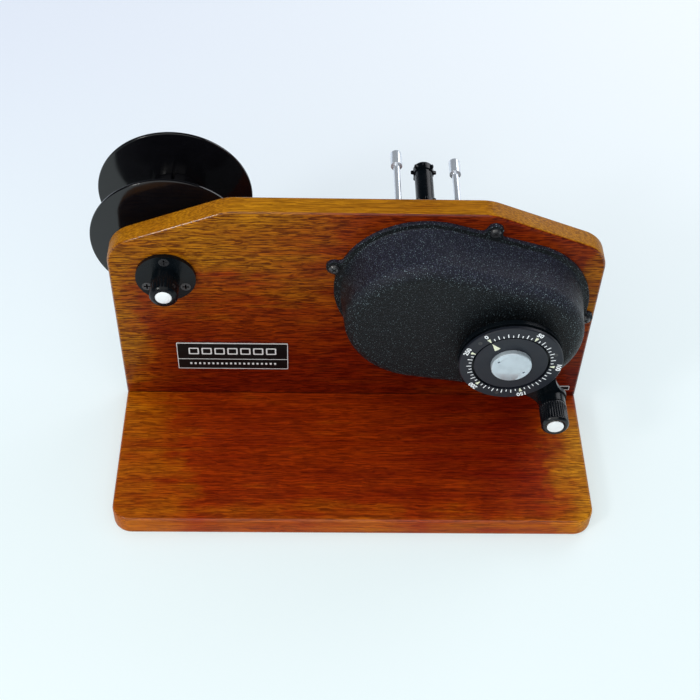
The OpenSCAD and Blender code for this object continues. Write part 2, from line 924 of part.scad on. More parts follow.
// Film sprocket: a relieved drum between two rows of teeth
module sprocket_drum() {
    land = 4.5;
    land_r = 5.75;
    drum_r = 5.15;
    row_offset = 14.1;
    front = film_mid_y - film_half + 1;
    color("#17181a")
        difference() {
            union() {
                rod(sprocket_c, [board_bush_y[1] + gap, sprocket_end_y], drum_r);
                for (s = [-1, 1])
                    rod(sprocket_c, [s < 0 ? front : sprocket_end_y - land,
                                     s < 0 ? front + land : sprocket_end_y], land_r);
                for (s = [-1, 1], k = [0:sprocket_teeth - 1])
                    sprocket_tooth(film_mid_y + s * row_offset, k * 360 / sprocket_teeth, land_r - 0.5);
            }
            rod(sprocket_c, [0, sprocket_end_y - 2 + seat], sprocket_shaft_r + seat);
            translate([sprocket_c[0], 0, sprocket_c[1]])
                flush_hole(sprocket_end_y, 1, 2.3, 1.2, 8.5);
        }
}

// One tooth: a tapered post with a flat top
module sprocket_tooth(y, angle, foot_r) {
    translate([sprocket_c[0], y, sprocket_c[1]])
        rotate([0, -angle, 0])
            translate([foot_r, -0.9, 0])
                rotate([-90, 0, 0])
                    linear_extrude(1.8)
                        polygon([[0, -1.05], [sprocket_d / 2 - foot_r, -0.5],
                                 [sprocket_d / 2 - foot_r, 0.5], [0, 1.05]]);
}

module sprocket_gear() {
    color("#c8a24e")
        difference() {
            union() {
                gear(sprocket_c, low_gear_y, driven_teeth, sprocket_gear_turn,
                     sprocket_shaft_r + seat);
                rod(sprocket_c, [sprocket_front_y + 1.9, low_gear_y[0] + 1], 6);
            }
            rod(sprocket_c, [sprocket_front_y, low_gear_y[0] + 2], sprocket_shaft_r + seat);
        }
}

module sprocket_clip() {
    color("#3a3b3d")
        clip(sprocket_c, [sprocket_front_y + 0.9, sprocket_front_y + 1.7],
             sprocket_shaft_r - 0.48, sprocket_shaft_r + 2.5, 90);
}

module sprocket_end_screw() {
    color("#2b2c2e")
        translate([sprocket_c[0], 0, sprocket_c[1]])
            flush_screw(sprocket_end_y, 1, 2.3, 1.2, 8.5);
}

// Guide post: a neck for the film between an inner shoulder and a rounded end
module guide_post(c) {
    shoulder_y = film_mid_y - film_half;
    end_y = film_mid_y + film_half;
    cap_l = 11.3;
    round_r = 1.2;
    color("#dfe2e5")
        union() {
            rod(c, [-plate_t, shoulder_y], post_d / 2);
            rod(c, [board_t, shoulder_y], post_cap_d / 2);
            rod(c, [shoulder_y, end_y], post_d / 2);
            translate([c[0], 0, c[1]])
                rotate([-90, 0, 0])
                    rotate_extrude()
                        polygon(concat([[0, end_y], [post_cap_d / 2, end_y]],
                            [for (a = [0:15:90])
                                [post_cap_d / 2 - round_r + round_r * cos(a),
                                 end_y + cap_l - round_r + round_r * sin(a)]],
                            [[0, end_y + cap_l]]));
        }
}

module left_post() {
    guide_post(left_post_c);
}

module right_post() {
    guide_post(right_post_c);
}

// ---- Take-up --------------------------------------------------------------------------------

takeup_front_y = -11;
spindle_step_y = 21;
spindle_end_y = 33;
spindle_end_r = 2.6;
seat_h = 9;
seat_wall = 2.5;
seat_floor = 2;
seat_screw_r = 22;

module takeup_bush() {
    board_bush(takeup_c, takeup_shaft_r);
}

// Spindle that turns the magazine's spool: a thinner round end with a blade across its tip
module takeup_spindle() {
    color("#c9cbcd")
        difference() {
            union() {
                grooved_shaft(takeup_c, [takeup_front_y, spindle_step_y], takeup_shaft_r);
                rod(takeup_c, [spindle_step_y - 1, spindle_end_y], spindle_end_r);
                rod(takeup_c, [board_bush_y[1] + gap, board_bush_y[1] + gap + 1.5], 5);
            }
            for (s = [-1, 1])
                translate([takeup_c[0] - 5, spindle_end_y - 4, takeup_c[1] + (s > 0 ? 1 : -6)])
                    cube([10, 5, 5]);
        }
}

module takeup_gear() {
    color("#c8a24e")
        gear(takeup_c, low_gear_y, driven_teeth, takeup_gear_turn, takeup_shaft_r + seat);
}

// Felt friction disc of the slipping clutch
module clutch_disc() {
    color("#6d3b35")
        tube(takeup_c, [low_gear_y[0] - 0.8, low_gear_y[0]], 6.5, takeup_shaft_r + seat);
}

// Dished spring that presses the clutch together
module clutch_spring() {
    color("#8f9193")
        tube(takeup_c, [low_gear_y[0] - 1.3, low_gear_y[0] - 0.8], 5.5, takeup_shaft_r + seat);
}

module takeup_clip() {
    color("#3a3b3d")
        clip(takeup_c, [takeup_front_y + 0.9, takeup_front_y + 1.7], takeup_shaft_r - 0.48,
             takeup_shaft_r + 2.5, 0);
}

// Round cup on the back of the board that holds the film magazine
module magazine_seat() {
    color("#1b1c1e")
        difference() {
            rod(takeup_c, [board_t, board_t + seat_h], magazine_d / 2 + seat_wall);
            rod(takeup_c, [board_t + seat_floor, board_t + seat_h + 1], magazine_d / 2);
            rod(takeup_c, [board_t - 1, board_t + seat_h], takeup_shaft_r + bush_wall + 2.5);
            around(takeup_c, seat_screw_angles, seat_screw_r)
                flush_hole(board_t + seat_floor, 1, 2.6, 1.3, 11);
        }
}

module seat_screws() {
    color("#4a4b4d")
        around(takeup_c, seat_screw_angles, seat_screw_r)
            flush_screw(board_t + seat_floor, 1, 2.6, 1.3, 11);
}

// ---- Nodes ----------------------------------------------------------------------------------

base_board();
back_board();
board_screws();
nameplate();
strip_label();
shaft_holder();
holder_screws();
holder_set_screw();
reel_shaft();
reel_spacer();
reel_hub();
reel_near_flange();
reel_far_flange();
reel_bush();
reel_screws();
reel_washer();
reel_nut();
gear_plate();
plate_screws();
gear_cover();
cover_screws();
crank_bush();
counter_bush();
crank_tube();
crank_gear();
crank_arm();
scale_ring();
ring_screws();
handle_spindle();
handle_grip();
counter_shaft();
counter_gear();
pointer_disc();
cap_nut();
idler_stud();
idler_clip();
idler_pinion();
idler_gear();
sprocket_bush();
sprocket_shaft();
sprocket_drum();
sprocket_gear();
sprocket_clip();
sprocket_end_screw();
left_post();
right_post();
takeup_bush();
takeup_spindle();
takeup_gear();
clutch_disc();
clutch_spring();
takeup_clip();
magazine_seat();
seat_screws();
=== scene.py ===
"""Looks of the bulk film loader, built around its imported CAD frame.

Lengths are in metres and the frame is the CAD's own: X along the stand, +Y back, +Z up. Each sub-assembly is a
class that builds its surfaces and dresses them, and each finish is a frozen dataclass that makes one material.
"""

import logging
import math
from collections.abc import Sequence
from dataclasses import dataclass, field
from enum import Enum

import bmesh
import bpy
import numpy as np
from mathutils import Matrix, Vector


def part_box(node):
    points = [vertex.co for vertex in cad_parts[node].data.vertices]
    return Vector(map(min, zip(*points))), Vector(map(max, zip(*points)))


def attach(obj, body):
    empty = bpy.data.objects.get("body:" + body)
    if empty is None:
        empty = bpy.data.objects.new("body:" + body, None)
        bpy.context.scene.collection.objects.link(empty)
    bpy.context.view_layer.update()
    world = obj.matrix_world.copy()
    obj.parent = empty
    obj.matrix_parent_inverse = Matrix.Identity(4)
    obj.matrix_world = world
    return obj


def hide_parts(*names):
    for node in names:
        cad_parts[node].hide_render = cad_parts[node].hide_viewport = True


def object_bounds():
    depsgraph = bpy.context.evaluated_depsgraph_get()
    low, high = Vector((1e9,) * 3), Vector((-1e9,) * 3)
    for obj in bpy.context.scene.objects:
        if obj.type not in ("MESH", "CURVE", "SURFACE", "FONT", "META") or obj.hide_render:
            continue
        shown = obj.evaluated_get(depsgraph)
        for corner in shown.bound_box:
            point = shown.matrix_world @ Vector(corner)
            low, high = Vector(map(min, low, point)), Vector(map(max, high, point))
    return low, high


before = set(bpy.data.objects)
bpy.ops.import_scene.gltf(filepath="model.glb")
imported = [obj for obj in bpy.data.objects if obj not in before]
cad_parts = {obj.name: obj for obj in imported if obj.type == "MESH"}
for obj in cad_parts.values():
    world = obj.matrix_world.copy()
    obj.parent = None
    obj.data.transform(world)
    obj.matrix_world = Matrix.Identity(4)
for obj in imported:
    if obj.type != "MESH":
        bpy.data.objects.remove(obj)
CAD_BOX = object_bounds()

LOG = logging.getLogger("film_loader")
MM = 0.001
SMOOTH_ANGLE = math.radians(32)


# ---- Surfaces -------------------------------------------------------------------------------


@dataclass
class Surface:
    """Closed shells as vertices and faces.

    Each entry of faces is an array with one face a row, so faces of one size sit together.
    """

    points: np.ndarray
    faces: list[np.ndarray]

    def volume(self) -> float:
        """Signed volume: the sum over fan triangles of a dot (b cross c), over six."""
        total = 0.0
        for group in self.faces:
            first = self.points[group[:, 0]]
            for k in range(1, group.shape[1] - 1):
                second, third = self.points[group[:, k]], self.points[group[:, k + 1]]
                total += np.einsum("ij,ij->", first, np.cross(second, third))
        return total / 6

    def outward(self) -> "Surface":
        """The same shell with its faces turned outwards."""
        if self.volume() < 0:
            self.faces = [group[:, ::-1] for group in self.faces]
        return self

    def __add__(self, other: "Surface") -> "Surface":
        """Both surfaces as one."""
        start = len(self.points)
        return Surface(np.vstack([self.points, other.points]), self.faces + [g + start for g in other.faces])

    def build(self, name: str, angle: float = SMOOTH_ANGLE) -> bpy.types.Object:
        """Make the object, smooth except at edges sharper than angle.

        Args:
            name: Name of the piece.
            angle: Largest turn that is shaded smooth, in radians.

        Returns:
            The new object, linked to the scene.
        """
        mesh = bpy.data.meshes.new(name)
        mesh.from_pydata(self.points.tolist(), [], [row for group in self.faces for row in group.tolist()])
        mesh.update()
        mesh.validate()
        mesh.shade_smooth()
        mesh.set_sharp_from_angle(angle=angle)
        piece = bpy.data.objects.new(name, mesh)
        bpy.context.scene.collection.objects.link(piece)
        return piece


def join(surfaces: Sequence[Surface]) -> Surface:
    """Several surfaces as one."""
    whole = surfaces[0]
    for surface in surfaces[1:]:
        whole = whole + surface
    return whole


def quads(rows: int, columns: int, wrap_rows: bool) -> np.ndarray:
    """Faces between neighbouring points of a grid whose columns close on themselves.

    Args:
        rows: Number of grid rows.
        columns: Number of points in a row.
        wrap_rows: Whether the last row also joins the first.

    Returns:
        One quad a row, as vertex numbers.
    """
    r = np.arange(rows if wrap_rows else rows - 1)[:, None]
    c = np.arange(columns)[None, :]
    below, right = (r + 1) % rows, (c + 1) % columns
    return np.stack([r * columns + c, r * columns + right, below * columns + right, below * columns + c], -1).reshape(-1, 4)


def tube_grid(grid: np.ndarray) -> Surface:
    """Close a grid of rows of points, each row a ring, into a shell that wraps both ways."""
    rows, columns = grid.shape[:2]
    return Surface(grid.reshape(-1, 3), [quads(rows, columns, True)]).outward()


def capped_grid(grid: np.ndarray) -> Surface:
    """Close a stack of rings with a flat face on the first and the last."""
    rows, columns = grid.shape[:2]
    ring = np.arange(columns)
    caps = np.stack([ring[::-1], ring + (rows - 1) * columns])
    return Surface(grid.reshape(-1, 3), [quads(rows, columns, False), caps]).outward()


@dataclass(frozen=True)
class Axis:
    """A line along Y through x and z."""

    x: float
    z: float

    @classmethod
    def of(cls, node: str) -> "Axis":
        """The axis through the middle of a CAD node."""
        low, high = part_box(node)
        return cls((low.x + high.x) / 2, (low.z + high.z) / 2)

    def polar(self, radius: np.ndarray | float, angle: np.ndarray | float, y: np.ndarray | float) -> np.ndarray:
        """Points at a radius and an angle from the axis: (x + r cos a, y, z + r sin a)."""
        radius, angle, y = np.broadcast_arrays(radius, angle, y)
        return np.stack([self.x + radius * np.cos(angle), y * 1.0, self.z + radius * np.sin(angle)], -1)


def lathe(axis: Axis, profile: np.ndarray, steps: int = 96) -> Surface:
    """Turn a profile round an axis.

    A row (r, y) of the profile becomes the circle of points (x + r cos a, y, z + r sin a). A profile that starts
    and ends on the axis closes in poles, and any other closes on itself as a ring.

    Args:
        axis: The axis to turn about.
        profile: Rows of radius and y.
        steps: Points round the circle.

    Returns:
        The closed surface.
    """
    angle = np.arange(steps) * 2 * np.pi / steps
    solid = profile[0, 0] < 1e-9 and profile[-1, 0] < 1e-9
    rows = profile[1:-1] if solid else profile
    grid = axis.polar(rows[:, :1], angle[None, :], rows[:, 1:])
    if not solid:
        return tube_grid(grid)
    count, ring = len(rows), np.arange(steps)
    poles = np.array([[axis.x, profile[0, 1], axis.z], [axis.x, profile[-1, 1], axis.z]])
    start, end, last = count * steps, count * steps + 1, (count - 1) * steps
    fans = np.vstack([
        np.stack([np.full(steps, start), (ring + 1) % steps, ring], -1),
        np.stack([np.full(steps, end), last + ring, last + (ring + 1) % steps], -1),
    ])
    return Surface(np.vstack([grid.reshape(-1, 3), poles]), [quads(count, steps, False), fans]).outward()


def rounded(corners: Sequence[tuple[float, float, float]], steps: int = 4) -> np.ndarray:
    """Round the corners of an open path.

    Each corner is (u, v, fillet). Its arc touches both edges at fillet / tan(half the corner's angle) from it,
    and turns evenly round a centre on the bisector.

    Args:
        corners: The path's corners, in order.
        steps: Steps in each arc.

    Returns:
        Rows of u and v.
    """
    path = np.array([c[:2] for c in corners], float)
    out = [path[:1]]
    for i in range(1, len(path) - 1):
        here, fillet = path[i], corners[i][2]
        back, on = path[i - 1] - here, path[i + 1] - here
        back, on = back / np.linalg.norm(back), on / np.linalg.norm(on)
        half = math.acos(float(np.clip(back @ on, -1, 1))) / 2
        if fillet <= 0 or half > math.pi / 2 - 1e-4:
            out.append(here[None, :])
            continue
        centre = here + (back + on) / np.linalg.norm(back + on) * fillet / math.sin(half)
        first = here + back * fillet / math.tan(half) - centre
        last = here + on * fillet / math.tan(half) - centre
        turn, t = math.pi - 2 * half, np.linspace(0, 1, steps + 1)[:, None]
        out.append(centre + (np.sin((1 - t) * turn) * first + np.sin(t * turn) * last) / math.sin(turn))
    out.append(path[-1:])
    return np.vstack(out)


def closed_rounded(corners: Sequence[tuple[float, float, float]], steps: int = 4) -> np.ndarray:
    """Round every corner of a closed path; it starts in the middle of its last edge."""
    middle = ((corners[-1][0] + corners[0][0]) / 2, (corners[-1][1] + corners[0][1]) / 2, 0.0)
    return rounded([middle, *corners, middle], steps)[:-1]


@dataclass
class Outline:
    """A closed flat outline that can be pulled inwards.

    The point for a pull d is points + d * pulls, so arcs keep their centres and edges stay parallel.
    """

    points: np.ndarray
    pulls: np.ndarray

    @classmethod
    def arc(cls, centre: Sequence[float], radius: float, start: float, end: float, steps: int) -> "Outline":
        """An arc from one angle to another, in degrees."""
        a = np.radians(np.linspace(start, end, steps + 1))
        ray = np.stack([np.cos(a), np.sin(a)], -1)
        return cls(np.asarray(centre) + radius * ray, -ray)

    @classmethod
    def corner(cls, point: Sequence[float], pull: Sequence[float]) -> "Outline":
        """A single corner with its own pull."""
        return cls(np.array([point], float), np.array([pull], float))

    @classmethod
    def chain(cls, parts: Sequence["Outline"]) -> "Outline":
        """Parts one after another."""
        return cls(np.vstack([p.points for p in parts]), np.vstack([p.pulls for p in parts]))

    def at(self, pull: float) -> np.ndarray:
        """The outline pulled in by a length."""
        return self.points + pull * self.pulls


def edge_layers(low: float, high: float, radius: float, steps: int = 5) -> list[tuple[float, float]]:
    """Pull and height of each ring of a slab with quarter-round edges: r (1 - sin t) and r (1 - cos t)."""
    t = np.linspace(0, np.pi / 2, steps + 1)
    pull, rise = radius * (1 - np.sin(t)), radius * (1 - np.cos(t))
    up = list(zip(pull, low + rise))
    return up + [(p, high - (h - low)) for p, h in reversed(up)]


def box_surface(low: Sequence[float], high: Sequence[float], edge: float) -> Surface:
    """A plate between two corners, its front edges and corners rounded by edge; the plate's face looks along -Y."""
    w, h, t = (high[0] - low[0]) / 2, (high[2] - low[2]) / 2, edge
    middle = np.array([(low[0] + high[0]) / 2, (low[2] + high[2]) / 2])
    parts = [Outline.arc(middle + [sx * (w - t), sz * (h - t)], t, start, start + 90, 4)
             for sx, sz, start in ((1, 1, 0), (-1, 1, 90), (-1, -1, 180), (1, -1, 270))]
    outline = Outline.chain(parts)
    turn = np.linspace(0, np.pi / 2, 4)
    soft = min(edge, (high[1] - low[1]) * 0.8) * 0.6
    rings = [(0.0, high[1])] + [(soft * (1 - math.cos(a)), low[1] + soft * (1 - math.sin(a))) for a in turn]
    grid = np.stack([np.insert(outline.at(pull), 1, y, axis=1) for pull, y in rings])
    return capped_grid(grid)


def refined(node: str, edge: float = 0.0) -> bpy.types.Object:
    """A cleaner copy of a CAD node: vertices merged, flat areas joined, and sharp edges eased.

    Args:
        node: Name of the CAD node.
        edge: Width of the eased edge, or 0 for none.

    Returns:
        The new piece.
    """
    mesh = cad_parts[node].data.copy()
    tidy = bmesh.new()
    tidy.from_mesh(mesh)
    bmesh.ops.remove_doubles(tidy, verts=tidy.verts, dist=2e-6)
    bmesh.ops.dissolve_limit(tidy, angle_limit=math.radians(0.4), verts=tidy.verts, edges=tidy.edges)
    tidy.to_mesh(mesh)
    tidy.free()
    mesh.shade_smooth()
    mesh.set_sharp_from_angle(angle=SMOOTH_ANGLE)
    piece = bpy.data.objects.new(node + "_finished", mesh)
    bpy.context.scene.collection.objects.link(piece)
    if edge > 0:
        ease = piece.modifiers.new("eased_edges", "BEVEL")
        ease.width, ease.segments, ease.limit_method = edge, 2, "ANGLE"
        ease.angle_limit, ease.harden_normals = math.radians(45), True
    return piece


# ---- Wiring of node trees -------------------------------------------------------------------

Socket = bpy.types.NodeSocket


@dataclass
class Wiring:
    """Adds and joins nodes in one node tree, each new one to the right of the last."""

    tree: bpy.types.NodeTree
    count: int = 0

    def add(self, kind: str, feeds: dict | None = None, **settings: object) -> bpy.types.Node:
        """Add a node.

        Args:
            kind: Blender's name for the node.
            feeds: Values or sockets for its inputs, by name or number.
            settings: The node's own settings.

        Returns:
            The new node.
        """
        node = self.tree.nodes.new(kind)
        node.location = (200 * (self.count % 12), -260 * (self.count // 12))
        self.count += 1
        for key, value in settings.items():
            setattr(node, key, value)
        for key, value in (feeds or {}).items():
            self.feed(node, key, value)
        return node

    def feed(self, node: bpy.types.Node, key: str | int, value: object) -> None:
        """Link a socket to an input, or set the input to a value."""
        if isinstance(value, Socket):
            self.tree.links.new(value, node.inputs[key])
        else:
            node.inputs[key].default_value = value

    def math(self, operation: str, a: object, b: object = 0.0, clamp: bool = False) -> Socket:
        """One step of arithmetic on values."""
        return self.add("ShaderNodeMath", {0: a, 1: b}, operation=operation, use_clamp=clamp).outputs[0]

    def vector(self, operation: str, a: object, b: object = (0.0, 0.0, 0.0)) -> Socket:
        """One step of arithmetic on vectors."""
        node = self.add("ShaderNodeVectorMath", {0: a}, operation=operation)
        self.feed(node, "Scale" if operation == "SCALE" else 1, b)
        return node.outputs["Value" if operation in ("LENGTH", "DOT_PRODUCT") else "Vector"]

    def noise(self, place: Socket, size: float | Socket, detail: float = 2.0, rough: float = 0.5) -> Socket:
        """Noise of about one value a unit over size."""
        node = self.add("ShaderNodeTexNoise", {"Vector": place, "Scale": size, "Detail": detail, "Roughness": rough})
        return node.outputs["Fac"]

    def spread(self, value: Socket, low: float, high: float, out: tuple[float, float] = (0.0, 1.0)) -> Socket:
        """A smooth step from low to high, or falling if low is the larger."""
        if low > high:
            low, high, out = high, low, (out[1], out[0])
        node = self.add("ShaderNodeMapRange", {"Value": value, "From Min": low, "From Max": high,
                                               "To Min": out[0], "To Max": out[1]}, interpolation_type="SMOOTHSTEP")
        return node.outputs["Result"]

    def ramp(self, value: Socket, stops: Sequence[tuple[float, Sequence[float]]]) -> Socket:
        """Colours along a value."""
        node = self.add("ShaderNodeValToRGB", {"Fac": value})
        band = node.color_ramp
        while len(band.elements) < len(stops):
            band.elements.new(0.5)
        for element, (place, colour) in zip(band.elements, stops):
            element.position = place
            element.color = (*colour, 1.0)
        return node.outputs["Color"]

    def mix(self, share: object, a: object, b: object, blend: str = "MIX") -> Socket:
        """Two colours blended."""
        paints = {key: (*value, 1.0) if isinstance(value, tuple) and len(value) == 3 else value
                  for key, value in ((6, a), (7, b))}
        return self.add("ShaderNodeMix", {0: share, **paints}, data_type="RGBA", blend_type=blend).outputs[2]

    def bump(self, height: Socket, depth: float, strength: float = 1.0) -> Socket:
        """A normal from a height, depth metres from 0 to 1."""
        return self.add("ShaderNodeBump", {"Height": height, "Distance": depth, "Strength": strength}).outputs["Normal"]

    def place(self) -> Socket:
        """Object coordinates in millimetres."""
        return self.vector("SCALE", self.add("ShaderNodeTexCoord").outputs["Object"], 1 / MM)

    def effect(self, group: bpy.types.NodeTree, **feeds: object) -> bpy.types.Node:
        """Place a shared effect."""
        node = self.add("ShaderNodeGroup", node_tree=group)
        for key, value in feeds.items():
            self.feed(node, key.replace("_", " "), value)
        return node


def effect_tree(name: str, takes: dict[str, tuple[str, object]], gives: Sequence[str]) -> tuple[Wiring, bpy.types.Node, bpy.types.Node]:
    """Start a shared effect.

    Args:
        name: Name of the effect.
        takes: Inputs, each with its kind of socket and its usual value.
        gives: Names of the outputs, each a value.

    Returns:
        The wiring, the node that holds the inputs and the node that takes the outputs.
    """
    tree = bpy.data.node_groups.new(name, "ShaderNodeTree")
    for key, (kind, usual) in takes.items():
        socket = tree.interface.new_socket(key, in_out="INPUT", socket_type=kind)
        if kind == "NodeSocketFloat":
            socket.default_value = usual
    for key in gives:
        tree.interface.new_socket(key, in_out="OUTPUT", socket_type="NodeSocketFloat")
    wiring = Wiring(tree)
    return wiring, wiring.add("NodeGroupInput"), wiring.add("NodeGroupOutput")


class Effects:
    """Effects that more than one finish uses, each built once."""

    _made: dict[str, bpy.types.NodeTree] = {}

    @classmethod
    def get(cls, name: str) -> bpy.types.NodeTree:
        """The effect of that name, built when it is first asked for."""
        if name not in cls._made:
            cls._made[name] = getattr(cls, "_" + name)()
        return cls._made[name]

    @staticmethod
    def _grain() -> bpy.types.NodeTree:
        """Wood grain along X: short dark pores, fine fibres, broad figure bands and stain clouds."""
        w, given, out = effect_tree(
            "wood_grain",
            {"Place": ("NodeSocketVector", None), "Pore Length": ("NodeSocketFloat", 10.0),
             "Pore Width": ("NodeSocketFloat", 0.72), "Wave": ("NodeSocketFloat", 2.4)},
            ("Pores", "Fibres", "Figure", "Cloud"))
        place = given.outputs["Place"]
        slow = w.noise(w.vector("MULTIPLY", place, (1 / 16, 1 / 12, 1 / 12)), 1.0, 2.0)
        drift = w.math("MULTIPLY", w.math("SUBTRACT", slow, 0.5), given.outputs["Wave"])
        lift = w.add("ShaderNodeCombineXYZ", {"Y": drift, "Z": drift}).outputs[0]
        bent = w.vector("ADD", place, lift)
        size = w.add("ShaderNodeCombineXYZ", {"X": given.outputs["Pore Length"], "Y": given.outputs["Pore Width"],
                                              "Z": given.outputs["Pore Width"]}).outputs[0]
        pores = w.noise(w.vector("DIVIDE", bent, size), 1.0, 3.0, 0.55)
        w.feed(out, "Pores", w.spread(pores, 0.46, 0.58))
        w.feed(out, "Fibres", w.noise(w.vector("MULTIPLY", bent, (1 / 22, 1 / 0.6, 1 / 0.6)), 1.0, 3.0, 0.6))
        w.feed(out, "Figure", w.noise(w.vector("MULTIPLY", bent, (1 / 80, 1 / 7, 1 / 7)), 1.0, 3.0, 0.5))
        w.feed(out, "Cloud", w.noise(place, 1 / 48, 3.0, 0.55))
        return w.tree

    @staticmethod
    def _speckle() -> bpy.types.NodeTree:
        """Fine raised specks of wrinkle paint or cast skin: two sizes of noise, cut into separate grains."""
        w, given, out = effect_tree(
            "speckle", {"Place": ("NodeSocketVector", None), "Size": ("NodeSocketFloat", 0.5)}, ("Height", "Patch"))
        scaled = w.vector("DIVIDE", given.outputs["Place"], w.add(
            "ShaderNodeCombineXYZ", {k: given.outputs["Size"] for k in "XYZ"}).outputs[0])
        fine = w.noise(scaled, 1.0, 2.0, 0.6)
        cells = w.add("ShaderNodeTexVoronoi", {"Vector": scaled, "Scale": 0.8, "Randomness": 1.0}).outputs["Distance"]
        w.feed(out, "Height", w.math("ADD", w.math("MULTIPLY", fine, 0.7), w.math("MULTIPLY", cells, -0.45)))
        w.feed(out, "Patch", w.noise(scaled, 0.06, 2.0, 0.5))
        return w.tree

    @staticmethod
    def _turning() -> bpy.types.NodeTree:
        """Tool marks of a turned face: noise of the distance from the axis alone, about an axis along Y."""
        w, given, out = effect_tree(
            "turning_marks", {"Place": ("NodeSocketVector", None), "Pitch": ("NodeSocketFloat", 0.15)}, ("Height",))
        flat = w.vector("MULTIPLY", given.outputs["Place"], (1.0, 0.0, 1.0))
        rings = w.math("DIVIDE", w.vector("LENGTH", flat), given.outputs["Pitch"])
        along = w.add("ShaderNodeSeparateXYZ", {0: given.outputs["Place"]}).outputs["Y"]
        line = w.add("ShaderNodeCombineXYZ", {"X": rings, "Y": w.math("DIVIDE", along, given.outputs["Pitch"])})
        w.feed(out, "Height", w.noise(line.outputs[0], 0.6, 2.0, 0.5))
        return w.tree

    @staticmethod
    def _handling() -> bpy.types.NodeTree:
        """Slight unevenness left by hands and dust: a slow cloud and fine scratches, as a share round 0.5."""
        w, given, out = effect_tree(
            "handling", {"Place": ("NodeSocketVector", None), "Size": ("NodeSocketFloat", 8.0)}, ("Share", "Dust"))
        scaled = w.vector("DIVIDE", given.outputs["Place"], w.add(
            "ShaderNodeCombineXYZ", {k: given.outputs["Size"] for k in "XYZ"}).outputs[0])
        w.feed(out, "Share", w.noise(scaled, 1.0, 4.0, 0.6))
        w.feed(out, "Dust", w.spread(w.noise(scaled, 14.0, 2.0, 0.6), 0.66, 0.78))
        return w.tree


# ---- Finishes -------------------------------------------------------------------------------

Colour = tuple[float, float, float]


def srgb(red: float, green: float, blue: float) -> Colour:
    """A display colour from 0 to 255 as linear light: ((c + 0.055) / 1.055) ** 2.4, or c / 12.92 near black."""
    def light(value: float) -> float:
        c = value / 255
        return c / 12.92 if c <= 0.04045 else ((c + 0.055) / 1.055) ** 2.4
    return light(red), light(green), light(blue)


@dataclass(frozen=True)
class Finish:
    """One surface finish. A finish builds its material once and gives it to any number of pieces."""

    name: str
    slot: str

    def wire(self, w: Wiring, shader: bpy.types.Node, place: Socket) -> None:
        """Wire the finish into its Principled BSDF."""
        raise NotImplementedError

    def material(self) -> bpy.types.Material:
        """The finish's material."""
        title = self.name + "_finish"
        found = bpy.data.materials.get(title)
        if found:
            return found
        made = bpy.data.materials.new(title)
        made.use_nodes = True
        made.node_tree.nodes.clear()
        w = Wiring(made.node_tree)
        shader = w.add("ShaderNodeBsdfPrincipled")
        w.add("ShaderNodeOutputMaterial", {"Surface": shader.outputs[0]})
        self.wire(w, shader, w.place())
        return made


class Face(Enum):
    """Which way a board's broad face looks, as a place in a normal."""

    FRONT = "Y"
    TOP = "Z"


